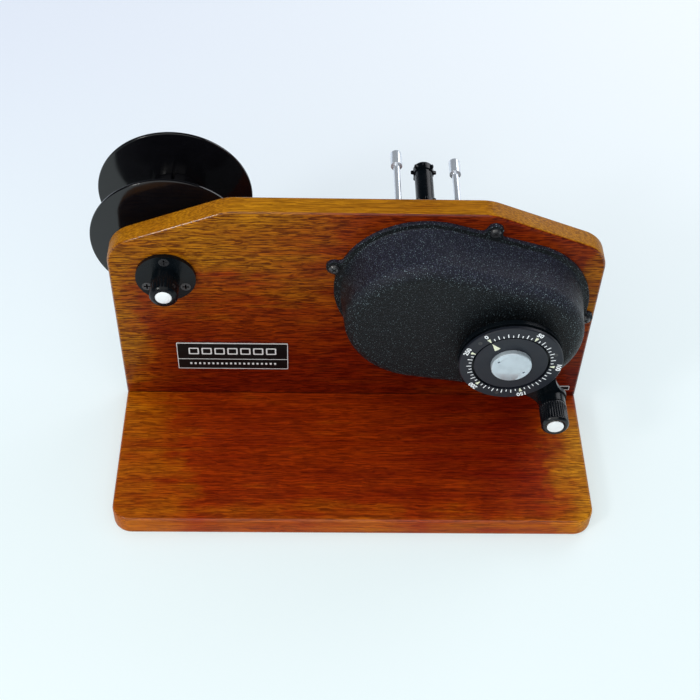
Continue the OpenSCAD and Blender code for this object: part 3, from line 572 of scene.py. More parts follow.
@dataclass(frozen=True)
class Varnish(Finish):
    """Clear varnish over stained wood, red-brown in the middle and golden where the stain runs thin.

    golden lists patches of thin stain. Each is (strength, ramps), and each ramp is (axis, from, to) in millimetres.
    tones runs from the deepest stain to the thinnest. seam is the height of a dark glue line, in millimetres.
    """

    face: Face
    tones: tuple[Colour, Colour, Colour, Colour]
    golden: tuple[tuple[float, tuple[tuple[str, float, float], ...]], ...]
    lean: float
    edge_light: float
    contrast: float
    seam: float = -50.0

    def stain(self, w: Wiring, place: Socket) -> Socket:
        """How golden the wood is, from 0 to 1: the largest of the patches, whose borders stray with slow noise."""
        stray = w.math("MULTIPLY", w.math("SUBTRACT", w.noise(place, 1 / 34, 3.0, 0.6), 0.5), 56.0)
        aside = w.add("ShaderNodeCombineXYZ", {key: stray for key in "XYZ"}).outputs[0]
        parts = w.add("ShaderNodeSeparateXYZ", {0: w.vector("ADD", place, aside)}).outputs
        strongest = None
        for strength, ramps in self.golden:
            patch = None
            for axis, start, end in ramps:
                step = w.spread(parts[axis], start, end)
                patch = step if patch is None else w.math("MULTIPLY", patch, step)
            patch = w.math("MULTIPLY", patch, strength)
            strongest = patch if strongest is None else w.math("MAXIMUM", strongest, patch)
        return strongest

    def wire(self, w: Wiring, shader: bpy.types.Node, place: Socket) -> None:
        """Stain colours by place, darkened by pores and fibres, under a clear coat."""
        turned = w.add("ShaderNodeMapping", {"Vector": place, "Rotation": (0.0, math.radians(self.lean), 0.0)})
        grain = w.effect(Effects.get("grain"), Place=turned.outputs[0]).outputs
        normal = w.add("ShaderNodeSeparateXYZ", {0: w.add("ShaderNodeTexCoord").outputs["Normal"]}).outputs
        facing = w.math("ABSOLUTE", normal[self.face.value])
        edge = w.spread(facing, 0.75, 0.35)
        bevel = w.math("MULTIPLY", w.spread(facing, 0.98, 0.86), w.spread(facing, 0.15, 0.4))
        gold = w.math("MAXIMUM", self.stain(w, place), w.math("MULTIPLY", edge, self.edge_light))
        mottle = w.math("MULTIPLY", w.math("SUBTRACT", grain["Cloud"], 0.5), 0.42)
        bands = w.math("MULTIPLY", w.math("SUBTRACT", grain["Figure"], 0.5), 0.5)
        tone = w.math("ADD", gold, w.math("ADD", mottle, bands), clamp=True)
        colour = w.ramp(tone, tuple(zip((0.0, 0.3, 0.62, 1.0), self.tones)))
        dark = w.mix(1.0, colour, w.ramp(tone, ((0.0, (0.50, 0.36, 0.3)), (0.6, (0.34, 0.24, 0.1)), (1.0, (0.24, 0.15, 0.05)))), "MULTIPLY")
        calm = w.math("SUBTRACT", 1.0, w.math("MULTIPLY", edge, 0.82))
        pores = w.math("MULTIPLY", w.math("MULTIPLY", grain["Pores"], self.contrast), calm)
        colour = w.mix(pores, colour, dark)
        fibres = w.ramp(grain["Fibres"], ((0.4, (0.62, 0.56, 0.5)), (0.6, (1.35, 1.4, 1.4))))
        colour = w.mix(0.9, colour, fibres, "MULTIPLY")
        relief = w.math("SUBTRACT", w.math("MULTIPLY", grain["Fibres"], 0.35), w.math("MULTIPLY", grain["Pores"], 0.65))
        height = w.add("ShaderNodeSeparateXYZ", {0: place}).outputs["Z"]
        glue = w.math("MULTIPLY", w.spread(height, self.seam + 1.0, self.seam + 0.3), 0.8)
        w.feed(shader, "Base Color", w.mix(glue, colour, (0.01, 0.003, 0.001)))
        w.feed(shader, "Normal", w.bump(relief, 0.05 * MM, 0.7))
        hands = w.effect(Effects.get("handling"), Place=place, Size=22.0).outputs
        w.feed(shader, "Roughness", w.spread(hands["Share"], 0.3, 0.7, (0.36, 0.5)))
        w.feed(shader, "Coat Weight", w.spread(bevel, 0.0, 1.0, (0.03, 0.7)))
        shader.inputs["Specular IOR Level"].default_value = 0.06
        shader.inputs["Coat Roughness"].default_value = 0.06


@dataclass(frozen=True)
class Black(Finish):
    """Black enamel, anodising or moulded plastic, with slight handling marks."""

    colour: Colour = (0.012, 0.012, 0.014)
    rough: float = 0.34
    shine: float = 0.5
    grain_size: float = 0.3
    grain_depth: float = 0.004
    dust: float = 0.0

    def wire(self, w: Wiring, shader: bpy.types.Node, place: Socket) -> None:
        """A dark base whose roughness drifts, with a faint skin and a little dust."""
        hands = w.effect(Effects.get("handling"), Place=place, Size=9.0).outputs
        skin = w.effect(Effects.get("speckle"), Place=place, Size=self.grain_size).outputs
        worn = tuple(c * 1.25 + 0.0005 for c in self.colour)
        colour = w.mix(w.spread(hands["Share"], 0.35, 0.75), self.colour, worn)
        w.feed(shader, "Base Color", w.mix(w.math("MULTIPLY", hands["Dust"], self.dust), colour, (0.3, 0.3, 0.31)))
        w.feed(shader, "Roughness", w.spread(hands["Share"], 0.3, 0.7, (self.rough * 0.85, self.rough * 1.2)))
        w.feed(shader, "Normal", w.bump(skin["Height"], self.grain_depth * MM))
        shader.inputs["Specular IOR Level"].default_value = self.shine


@dataclass(frozen=True)
class Wrinkle(Finish):
    """Black wrinkle enamel: sandy raised grains that catch the light one by one, with painted highlights on their tops,
    sparse painted glints, and a painted bluish sheen on faces that look up.
    """

    size: float = 0.7
    depth: float = 0.34

    def wire(self, w: Wiring, shader: bpy.types.Node, place: Socket) -> None:
        """Coarse speckle for the normal, with the grains' tops painted lighter as highlights and made smoother, sparse
        painted glints, and a painted sheen on faces that look up.
        """
        skin = w.effect(Effects.get("speckle"), Place=place, Size=self.size).outputs
        # Painted highlight: the raised grains' tops take a lighter colour.
        grain_top_highlight = w.spread(skin["Height"], 0.14, 0.40)
        up = w.add("ShaderNodeSeparateXYZ", {0: w.add("ShaderNodeTexCoord").outputs["Normal"]}).outputs["Z"]
        # Painted sheen: faces that look up turn paler and bluer, standing in for a reflection from above, in the
        # hollows' colour and in the tops' highlight colour alike.
        upward_sheen = w.spread(up, 0.1, 0.9)
        low = w.mix(upward_sheen, (0.002, 0.003, 0.004), (0.012, 0.013, 0.022))
        high = w.mix(upward_sheen, (0.009, 0.014, 0.018), (0.054, 0.060, 0.098))
        # Painted glints: sparse bright bluish spots in the base colour.
        painted_glints = w.spread(w.noise(place, 1 / 0.5, 1.0), 0.66, 0.73)
        w.feed(shader, "Base Color", w.mix(painted_glints, w.mix(grain_top_highlight, low, high), (0.24, 0.32, 0.35)))
        w.feed(shader, "Roughness", w.spread(skin["Height"], 0.1, 0.45, (0.5, 0.24)))
        w.feed(shader, "Normal", w.bump(skin["Height"], self.depth * MM))
        shader.inputs["Specular IOR Level"].default_value = 0.2


@dataclass(frozen=True)
class Metal(Finish):
    """Bare or plated metal, with turning marks round its own axis."""

    colour: Colour = (0.72, 0.73, 0.74)
    rough: float = 0.2
    centre: tuple[float, float] = (0.0, 0.0)
    pitch: float = 0.2
    marks: float = 0.004
    metallic: float = 1.0

    def wire(self, w: Wiring, shader: bpy.types.Node, place: Socket) -> None:
        """Turned rings for the normal and a roughness that drifts with handling."""
        centred = w.add("ShaderNodeMapping", {
            "Vector": place, "Location": (-self.centre[0] / MM, 0.0, -self.centre[1] / MM)}).outputs[0]
        rings = w.effect(Effects.get("turning"), Place=centred, Pitch=self.pitch).outputs["Height"]
        hands = w.effect(Effects.get("handling"), Place=place, Size=6.0).outputs
        dull = tuple(c * 0.93 for c in self.colour)
        w.feed(shader, "Base Color", w.mix(w.spread(hands["Share"], 0.4, 0.75), self.colour, dull))
        w.feed(shader, "Roughness", w.spread(hands["Share"], 0.3, 0.7, (self.rough * 0.8, self.rough * 1.25)))
        w.feed(shader, "Normal", w.bump(rings, self.marks * MM))
        shader.inputs["Metallic"].default_value = self.metallic


@dataclass(frozen=True)
class Felt(Finish):
    """Pressed felt."""

    colour: Colour = (0.16, 0.05, 0.04)

    def wire(self, w: Wiring, shader: bpy.types.Node, place: Socket) -> None:
        """Matted fibres in colour and height."""
        skin = w.effect(Effects.get("speckle"), Place=place, Size=0.25).outputs
        w.feed(shader, "Base Color", w.mix(skin["Height"], self.colour, tuple(c * 2 for c in self.colour)))
        w.feed(shader, "Normal", w.bump(skin["Height"], 0.15 * MM))
        shader.inputs["Roughness"].default_value = 0.95
        shader.inputs["Sheen Weight"].default_value = 0.3


def dress(piece: bpy.types.Object, finish: Finish, body: str, *nodes: str) -> bpy.types.Object:
    """Give a piece its finish, its body and the CAD nodes that it stands for."""
    piece.data.materials.clear()
    piece.data.materials.append(finish.material())
    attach(piece, body)
    if nodes:
        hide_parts(*nodes)
    LOG.info("%s: %d faces, rides on %s", piece.name, len(piece.data.polygons), body)
    return piece


def paint(node: str, finish: Finish) -> None:
    """Give a CAD node that stays as it is its finish."""
    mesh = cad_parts[node].data
    mesh.materials.clear()
    mesh.materials.append(finish.material())
    LOG.info("%s: CAD node, %s", node, finish.name)


# ---- Finishes of this loader ----------------------------------------------------------------

UPRIGHT_WOOD = Varnish(
    "varnish_upright", "varnished_wood", Face.FRONT,
    tones=(srgb(104, 24, 2), srgb(128, 48, 3), srgb(158, 98, 9), srgb(182, 122, 14)),
    golden=((0.58, (("X", 60.0, -70.0), ("Z", 84.0, 128.0))),
            (0.60, (("X", -92.0, -134.0), ("Z", -20.0, 70.0))),
            (0.34, (("X", 90.0, -30.0), ("Z", 40.0, 96.0))),
            (0.14, (("X", 20.0, 60.0), ("Z", 60.0, 140.0))),
            (0.48, (("X", 112.0, 134.0), ("Z", 20.0, 90.0)))),
    lean=1.2, edge_light=0.70, contrast=1.1, seam=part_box("base_board")[1].z / MM)
BASE_WOOD = Varnish(
    "varnish_base", "varnished_wood", Face.TOP,
    tones=(srgb(114, 23, 2), srgb(142, 45, 3), srgb(168, 88, 6), srgb(194, 126, 20)),
    golden=((0.44, (("Y", -52.0, -94.0),)),
            (0.52, (("X", -50.0, -105.0), ("Y", -45.0, -85.0))),
            (0.60, (("X", -78.0, -134.0),)),
            (0.42, (("X", -40.0, -110.0), ("Y", -40.0, 0.0))),
            (0.88, (("X", 100.0, 132.0), ("Y", 10.0, -30.0))),
            (0.26, (("X", 90.0, -20.0),))),
    lean=0.0, edge_light=0.30, contrast=0.62)
ENAMEL = Black("black_enamel", "black_metal", colour=(0.002, 0.0035, 0.005), rough=0.24, shine=0.2, grain_depth=0.003)
REEL_GLOSS = Black("reel_gloss", "reel_plastic", colour=(0.003, 0.003, 0.004), rough=0.11, grain_size=0.8,
                   grain_depth=0.0004)
DIAL_BLACK = Black("dial_black", "dial_black", colour=(0.008, 0.010, 0.016), rough=0.4, shine=0.35,
                   grain_size=0.25, grain_depth=0.010)
GRIP_BLACK = Black("grip_black", "grip_plastic", colour=(0.003, 0.004, 0.006), rough=0.26, shine=0.4, grain_depth=0.003)
PLATE_BLACK = Black("plate_black", "label_metal", colour=(0.004, 0.004, 0.004), rough=0.34, shine=0.15,
                    grain_depth=0.003)
SCREW_BLACK = Black("screw_black", "dark_screw", colour=(0.022, 0.022, 0.024), rough=0.28, shine=0.7)
CASE_WRINKLE = Wrinkle("case_wrinkle", "wrinkle_paint")
CLUTCH_FELT = Felt("clutch_felt", "felt")


@dataclass(frozen=True)
class Fill(Finish):
    """Paint filled into engraved marks."""

    colour: Colour = (0.78, 0.76, 0.62)

    def wire(self, w: Wiring, shader: bpy.types.Node, place: Socket) -> None:
        """Cream paint, slightly uneven from mark to mark."""
        hands = w.effect(Effects.get("handling"), Place=place, Size=3.0).outputs
        w.feed(shader, "Base Color", w.mix(w.spread(hands["Share"], 0.3, 0.7), self.colour,
                                           tuple(c * 0.86 for c in self.colour)))
        w.feed(shader, "Roughness", w.spread(hands["Share"], 0.3, 0.7, (0.45, 0.6)))


CREAM = Fill("cream_fill", "cream_paint", colour=(0.82, 0.84, 0.62))
WHITE = Fill("white_fill", "cream_paint", colour=(0.92, 0.94, 0.95))


def turned(node: str, name: str, slot: str, **choices: object) -> Metal:
    """A turned-metal finish whose marks run round the middle of a CAD node."""
    axis = Axis.of(node)
    return Metal(name, slot, centre=(axis.x, axis.z), **choices)


# ---- Sub-assemblies -------------------------------------------------------------------------


@dataclass
class Stand:
    """The two boards with their labels and screws."""

    base_corner: float = 11 * MM
    shoulder_corner: float = 18.5 * MM
    top_corner: float = 26 * MM
    shoulder_drop: float = 26 * MM
    top_width: float = 140 * MM
    edge: float = 1.8 * MM

    def base(self) -> bpy.types.Object:
        """The base board: a slab with two round front corners and rounded edges."""
        low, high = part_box("base_board")
        r = self.base_corner
        outline = Outline.chain([
            Outline.corner((high.x, high.y), (-1, -1)),
            Outline.corner((low.x, high.y), (1, -1)),
            Outline.arc((low.x + r, low.y + r), r, 180, 270, 16),
            Outline.arc((high.x - r, low.y + r), r, 270, 360, 16)])
        grid = np.stack([np.insert(outline.at(pull), 2, z, axis=1)
                         for pull, z in edge_layers(low.z, high.z, self.edge)])
        return capped_grid(grid).build("base_board_wood")

    def upright(self) -> bpy.types.Object:
        """The upright board: its outline's shoulders slope, and every arc touches both of its edges."""
        low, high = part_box("back_board")
        slope = math.atan2(self.shoulder_drop, high.x - self.top_width / 2)
        turn = math.degrees(slope)
        r, t = self.shoulder_corner, self.top_corner
        shoulder = high.z - self.shoulder_drop - r * math.tan((math.pi / 2 - slope) / 2)
        top = self.top_width / 2 - t * math.tan(slope / 2)
        outline = Outline.chain([
            Outline.corner((high.x, low.z), (-1, 0)),
            Outline.arc((high.x - r, shoulder), r, 0, 90 - turn, 18),
            Outline.arc((top, high.z - t), t, 90 - turn, 90, 8),
            Outline.arc((-top, high.z - t), t, 90, 90 + turn, 8),
            Outline.arc((low.x + r, shoulder), r, 90 + turn, 180, 18),
            Outline.corner((low.x, low.z), (1, 0))])
        grid = np.stack([np.insert(outline.at(pull), 1, y, axis=1)
                         for pull, y in edge_layers(low.y, high.y, self.edge)])
        return capped_grid(grid).build("back_board_wood")

    def nameplate(self) -> list[tuple[bpy.types.Object, Finish]]:
        """A black plate with a bare metal border, a dividing line and a plain film-strip pattern."""
        low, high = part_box("nameplate")
        border, line, raised = 0.4 * MM, 0.35 * MM, 0.12 * MM
        split = high.z - 0.61 * (high.z - low.z)
        plate = box_surface((low.x, low.y + raised, low.z), (high.x, high.y, high.z), 0.5 * MM)
        marks = [ring_surface(low, high, border, low.y, high.y - 0.2 * MM, 0.5 * MM),
                 box_surface((low.x + border, low.y, split - line), (high.x - border, low.y + 0.3 * MM, split), 0.02 * MM)]
        band, gap, count = high.z - border - split, 1.5 * MM, 7
        left, right = low.x + 6 * MM, high.x - 6 * MM
        pitch = (right - left) / count
        for x in left + pitch * np.arange(count):
            foot = (x + gap / 2, low.y, split + band * 0.3)
            head = (x + pitch - gap / 2, high.y, split + band * 0.72)
            marks.append(ring_surface(Vector(foot), Vector(head), 0.8 * MM, low.y, low.y + 0.3 * MM, 0.6 * MM))
        for x in np.linspace(left + 1 * MM, right - 2.2 * MM, 20):
            z = (low.z + border + split) / 2
            marks.append(box_surface((x, low.y, z - 0.8 * MM), (x + 1.2 * MM, low.y + 0.3 * MM, z + 0.8 * MM), 0.25 * MM))
        return [(plate.build("nameplate_black"), PLATE_BLACK),
                (join(marks).build("nameplate_marks"), LABEL_METAL)]

    def strip(self) -> list[tuple[bpy.types.Object, Finish]]:
        """A slim blank label with a bright border."""
        low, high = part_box("strip_label")
        plate = box_surface((low.x, low.y + 0.12 * MM, low.z), (high.x, high.y, high.z), 0.3 * MM)
        rim = ring_surface(low, high, 0.4 * MM, low.y, high.y - 0.1 * MM, 0.3 * MM)
        return [(plate.build("strip_label_black"), PLATE_BLACK), (rim.build("strip_label_rim"), LABEL_METAL)]

    def build(self) -> None:
        """Build and dress the stand."""
        dress(self.base(), BASE_WOOD, "frame", "base_board")
        dress(self.upright(), UPRIGHT_WOOD, "frame", "back_board")
        for node, pieces in (("nameplate", self.nameplate()), ("strip_label", self.strip())):
            for piece, finish in pieces:
                dress(piece, finish, "frame", node)
        dress(refined("board_screws"), BRIGHT, "frame", "board_screws")


def ring_surface(low: Vector, high: Vector, width: float, front: float, back: float, corner: float) -> Surface:
    """A flat rectangular frame between two corners of a plate, width wide, with round outer corners."""
    w, h = (high.x - low.x) / 2, (high.z - low.z) / 2
    middle = np.array([(low.x + high.x) / 2, (low.z + high.z) / 2])
    outline = Outline.chain([
        Outline.arc(middle + [sx * (w - corner), sz * (h - corner)], corner, start, start + 90, 4)
        for sx, sz, start in ((1, 1, 0), (-1, 1, 90), (-1, -1, 180), (1, -1, 270))])
    inner = middle + (outline.at(0) - middle) * np.array([(w - width) / w, (h - width) / h])
    rings = [(outline.at(0), back), (outline.at(0), front), (inner, front), (inner, back)]
    return tube_grid(np.stack([np.insert(flat, 1, y, axis=1) for flat, y in rings]))


@dataclass
class Reel:
    """The film reel on its fixed shaft, with the holder on the front of the board."""

    rim_bead: float = 0.7 * MM

    def flange(self, node: str) -> bpy.types.Object:
        """A thin flat disc with a rounded rim.

        Its profile runs from the bore out along one face, round the rim and back along the other.
        """
        low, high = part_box(node)
        outer, bore, crisp = (high.x - low.x) / 2, 6.8 * MM, 0.2 * MM
        profile = closed_rounded([(bore, low.y, crisp), (outer, low.y, self.rim_bead), (outer, high.y, self.rim_bead),
                                  (bore, high.y, crisp)], 4)
        return lathe(Axis.of(node), profile, 160).build(node + "_moulded")

    def shaft(self) -> bpy.types.Object:
        """The long shaft with a crowned front end and a chamfered back end."""
        low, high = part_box("reel_shaft")
        r, crown = (high.x - low.x) / 2, 0.35 * MM
        profile = rounded([(0, low.y, 0), (r * 0.6, low.y + 0.04 * MM, 6 * MM), (r, low.y + crown, 0.5 * MM),
                           (r, high.y, 0.6 * MM), (0, high.y, 0)], 5)
        return lathe(Axis.of("reel_shaft"), profile, 64).build("reel_shaft_turned")

    def build(self) -> None:
        """Build and dress the reel and its holder."""
        steel = turned("reel_shaft", "reel_shaft_steel", "steel", colour=(0.93, 0.95, 0.96), rough=0.4, marks=0.001,
                       metallic=0.35)
        for node in ("reel_near_flange", "reel_far_flange"):
            dress(self.flange(node), REEL_GLOSS, "reel", node)
        dress(refined("reel_hub", 0.4 * MM), REEL_GLOSS, "reel", "reel_hub")
        dress(self.shaft(), steel, "frame", "reel_shaft")
        dress(refined("shaft_holder", 0.35 * MM), ENAMEL, "frame", "shaft_holder")
        for node in ("holder_screws", "holder_set_screw"):
            dress(refined(node, 0.08 * MM), SCREW_BLACK, "frame", node)
        dress(refined("reel_screws", 0.08 * MM), SCREW_BLACK, "reel", "reel_screws")
        dress(refined("reel_washer", 0.15 * MM), steel, "frame", "reel_washer")
        dress(refined("reel_spacer", 0.2 * MM), steel, "frame", "reel_spacer")
        dress(refined("reel_nut", 0.3 * MM), ENAMEL, "frame", "reel_nut")
        paint("reel_bush", BRASS)


@dataclass
class GearCase:
    """The cast cover over the gears, and everything sealed inside it."""

    big_r: float = 49.1 * MM
    small_r: float = 45.9 * MM
    plate_inset: float = 6.4 * MM
    rim_width: float = 3.4 * MM
    rim_height: float = 2.4 * MM
    draft: float = 2.7 * MM
    fillet: float = 8.5 * MM
    wall: float = 2.2 * MM
    bore: float = 8.02 * MM
    ear: float = 4.4 * MM
    ear_foot: float = 2.6 * MM

    def __post_init__(self) -> None:
        """Find the middles of the case's two circles from the plate inside it, which both circles bound."""
        low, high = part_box("gear_plate")
        big, small = self.big_r - self.plate_inset, self.small_r - self.plate_inset
        self.big = Axis(low.x + big, high.z - big)
        self.small = Axis(high.x - small, low.z + small)

    def outline(self, ears: Sequence[Sequence[float]]) -> Outline:
        """The outline of two circles with their outer tangents, with more points near the ears.

        A tangent touches both circles where the ray from each centre stands at acos((R - r) / d) to their line.
        """
        a, b = np.array([self.big.x, self.big.z]), np.array([self.small.x, self.small.z])
        line = math.atan2(b[1] - a[1], b[0] - a[0])
        lean = math.acos((self.big_r - self.small_r) / np.linalg.norm(b - a))
        spots = [math.atan2(e[1] - a[1], e[0] - a[0]) for e in ears], [math.atan2(e[1] - b[1], e[0] - b[0]) for e in ears]
        parts = []
        for centre, radius, start, sweep, near in (
                (a, self.big_r, line + lean, 2 * (math.pi - lean), spots[0]),
                (b, self.small_r, line - lean, 2 * lean, spots[1])):
            even = np.linspace(start, start + sweep, 110)
            reach = 1.1 * (self.ear + self.ear_foot) / radius
            fine = [start + (spot - start) % (2 * math.pi) + np.linspace(-reach, reach, 56) for spot in near]
            angle = np.unique(np.concatenate([even, *fine]))
            angle = angle[(angle >= start - 1e-9) & (angle <= start + sweep + 1e-9)]
            ray = np.stack([np.cos(angle), np.sin(angle)], -1)
            parts.append(Outline(centre + radius * ray, -ray))
        for first, second in ((0, 1), (2, 0)):
            here, there = parts[first], parts[second]
            t = np.linspace(0, 1, 74)[1:-1, None]
            parts.insert(first + 1, Outline(here.points[-1] * (1 - t) + there.points[0] * t,
                                            here.pulls[-1] * (1 - t) + there.pulls[0] * t))
        return Outline.chain(parts)

    def cover(self) -> bpy.types.Object:
        """The cover as one grid: rim, drafted wall, rounded edge, face, bush hole, and back down the inside.

        Each row is the outline pulled in by some length at some depth. The rows of the rim are pushed out to the
        ears' circles, by c.n + sqrt(r^2 - (c.t)^2) for an ear at c from the point, along the outward ray n. Beside an
        ear a quarter circle runs back to the rim.
        """
        low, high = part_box("gear_cover")
        height = high.y - low.y
        heads = [h for h in node_islands("cover_screws")]
        outline = self.outline(heads)
        push = np.zeros(len(outline.points))
        for head in heads:
            to = np.asarray(head) - outline.points
            ray = -outline.pulls
            along = np.einsum("ij,ij->i", to, ray)
            across = np.linalg.norm(to - along[:, None] * ray, axis=1)
            inside = (across < self.ear + self.ear_foot) & (along > -self.ear)
            reach = along + np.sqrt(np.clip(self.ear ** 2 - across ** 2, 0, None))
            fall = np.clip((across - self.ear) / self.ear_foot, 0, 1)
            reach = np.where(across < self.ear, reach, along * (1 - np.sqrt(np.clip(1 - (1 - fall) ** 2, 0, None))))
            push = np.where(inside, np.maximum(push, reach), push)

        def row(pull: float, rise: float, eared: float = 0.0) -> np.ndarray:
            """One ring of the grid, pulled in by pull, rise above the board, with its ears pushed out."""
            flat = outline.at(pull) - (push * eared)[:, None] * outline.pulls
            return np.insert(flat, 1, high.y - rise, axis=1)

        def wall(inset: float, top: float, radius: float, steps: int) -> list[tuple[float, float]]:
            """Pulls and rises up a drafted wall and round its edge."""
            turn = np.linspace(0, np.pi / 2, steps)
            start = inset + self.draft * (top - radius) / height
            return list(zip(start + radius * (1 - np.cos(turn)), top - radius + radius * np.sin(turn)))

        lip, foot = 0.5 * MM, 0.9 * MM
        rows = [row(0, 0, 1), row(0, self.rim_height - lip, 1)]
        rows += [row(lip * (1 - math.cos(a)), self.rim_height - lip * (1 - math.sin(a)), 1)
                 for a in np.linspace(0.3, math.pi / 2, 4)]
        rows += [row(self.rim_width - foot, self.rim_height), row(self.rim_width - 0.3 * foot, self.rim_height + 0.3 * foot),
                 row(self.rim_width + 0.1 * MM, self.rim_height + foot)]
        outer = wall(self.rim_width, height, self.fillet, 12)
        rows += [row(*step) for step in outer]
        ray = outline.points - [Axis.of("crank_bush").x, Axis.of("crank_bush").z]
        angle = np.arctan2(ray[:, 1], ray[:, 0])
        hole = Axis.of("crank_bush")
        rows += [hole.polar(self.bore + 0.3 * MM, angle, low.y), hole.polar(self.bore, angle, low.y + 0.3 * MM),
                 hole.polar(self.bore, angle, low.y + self.wall)]
        inner = wall(self.rim_width + self.wall, height - self.wall, self.fillet - self.wall, 6)
        rows += [row(*step) for step in reversed(inner)]
        rows.append(row(self.rim_width + self.wall, 0))
        return tube_grid(np.stack(rows)).build("gear_cover_cast", math.radians(40))

    def build(self) -> None:
        """Build and dress the case and its inner parts."""
        dress(self.cover(), CASE_WRINKLE, "frame", "gear_cover")
        dress(refined("cover_screws", 0.12 * MM), SCREW_BLACK, "frame", "cover_screws")
        dress(refined("crank_bush", 0.15 * MM), BRASS, "frame", "crank_bush")
        for node in ("counter_bush", "sprocket_bush", "takeup_bush"):
            paint(node, BRASS)
        for node in ("crank_gear", "counter_gear", "idler_gear", "sprocket_gear", "takeup_gear"):
            paint(node, turned(node, node + "_brass", "gear_brass", colour=(0.74, 0.56, 0.26), rough=0.3))
        for node in ("gear_plate", "plate_screws", "idler_stud", "idler_pinion", "crank_tube", "counter_shaft",
                     "clutch_spring"):
            paint(node, BRIGHT)
        for node in ("idler_clip", "sprocket_clip", "takeup_clip"):
            paint(node, SCREW_BLACK)
        paint("clutch_disc", CLUTCH_FELT)


def node_islands(node: str) -> list[tuple[float, float]]:
    """The middles, as x and z, of the separate solids of a CAD node.

    Vertices are gathered by their distance from solids already found, taking 8 mm as the most a solid is wide.
    """
    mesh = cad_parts[node].data
    points = np.empty(len(mesh.vertices) * 3)
    mesh.vertices.foreach_get("co", points)
    flat = points.reshape(-1, 3)[:, [0, 2]]
    middles = []
    while len(flat):
        near = np.linalg.norm(flat - flat[0], axis=1) < 8 * MM
        group = flat[near]
        middles.append(tuple((group.min(axis=0) + group.max(axis=0)) / 2))
        flat = flat[~near]
    return middles


class Way(Enum):
    """How a mark on the dial is painted."""

    LONG = "long"
    SHORT = "short"
    WEDGE = "wedge"


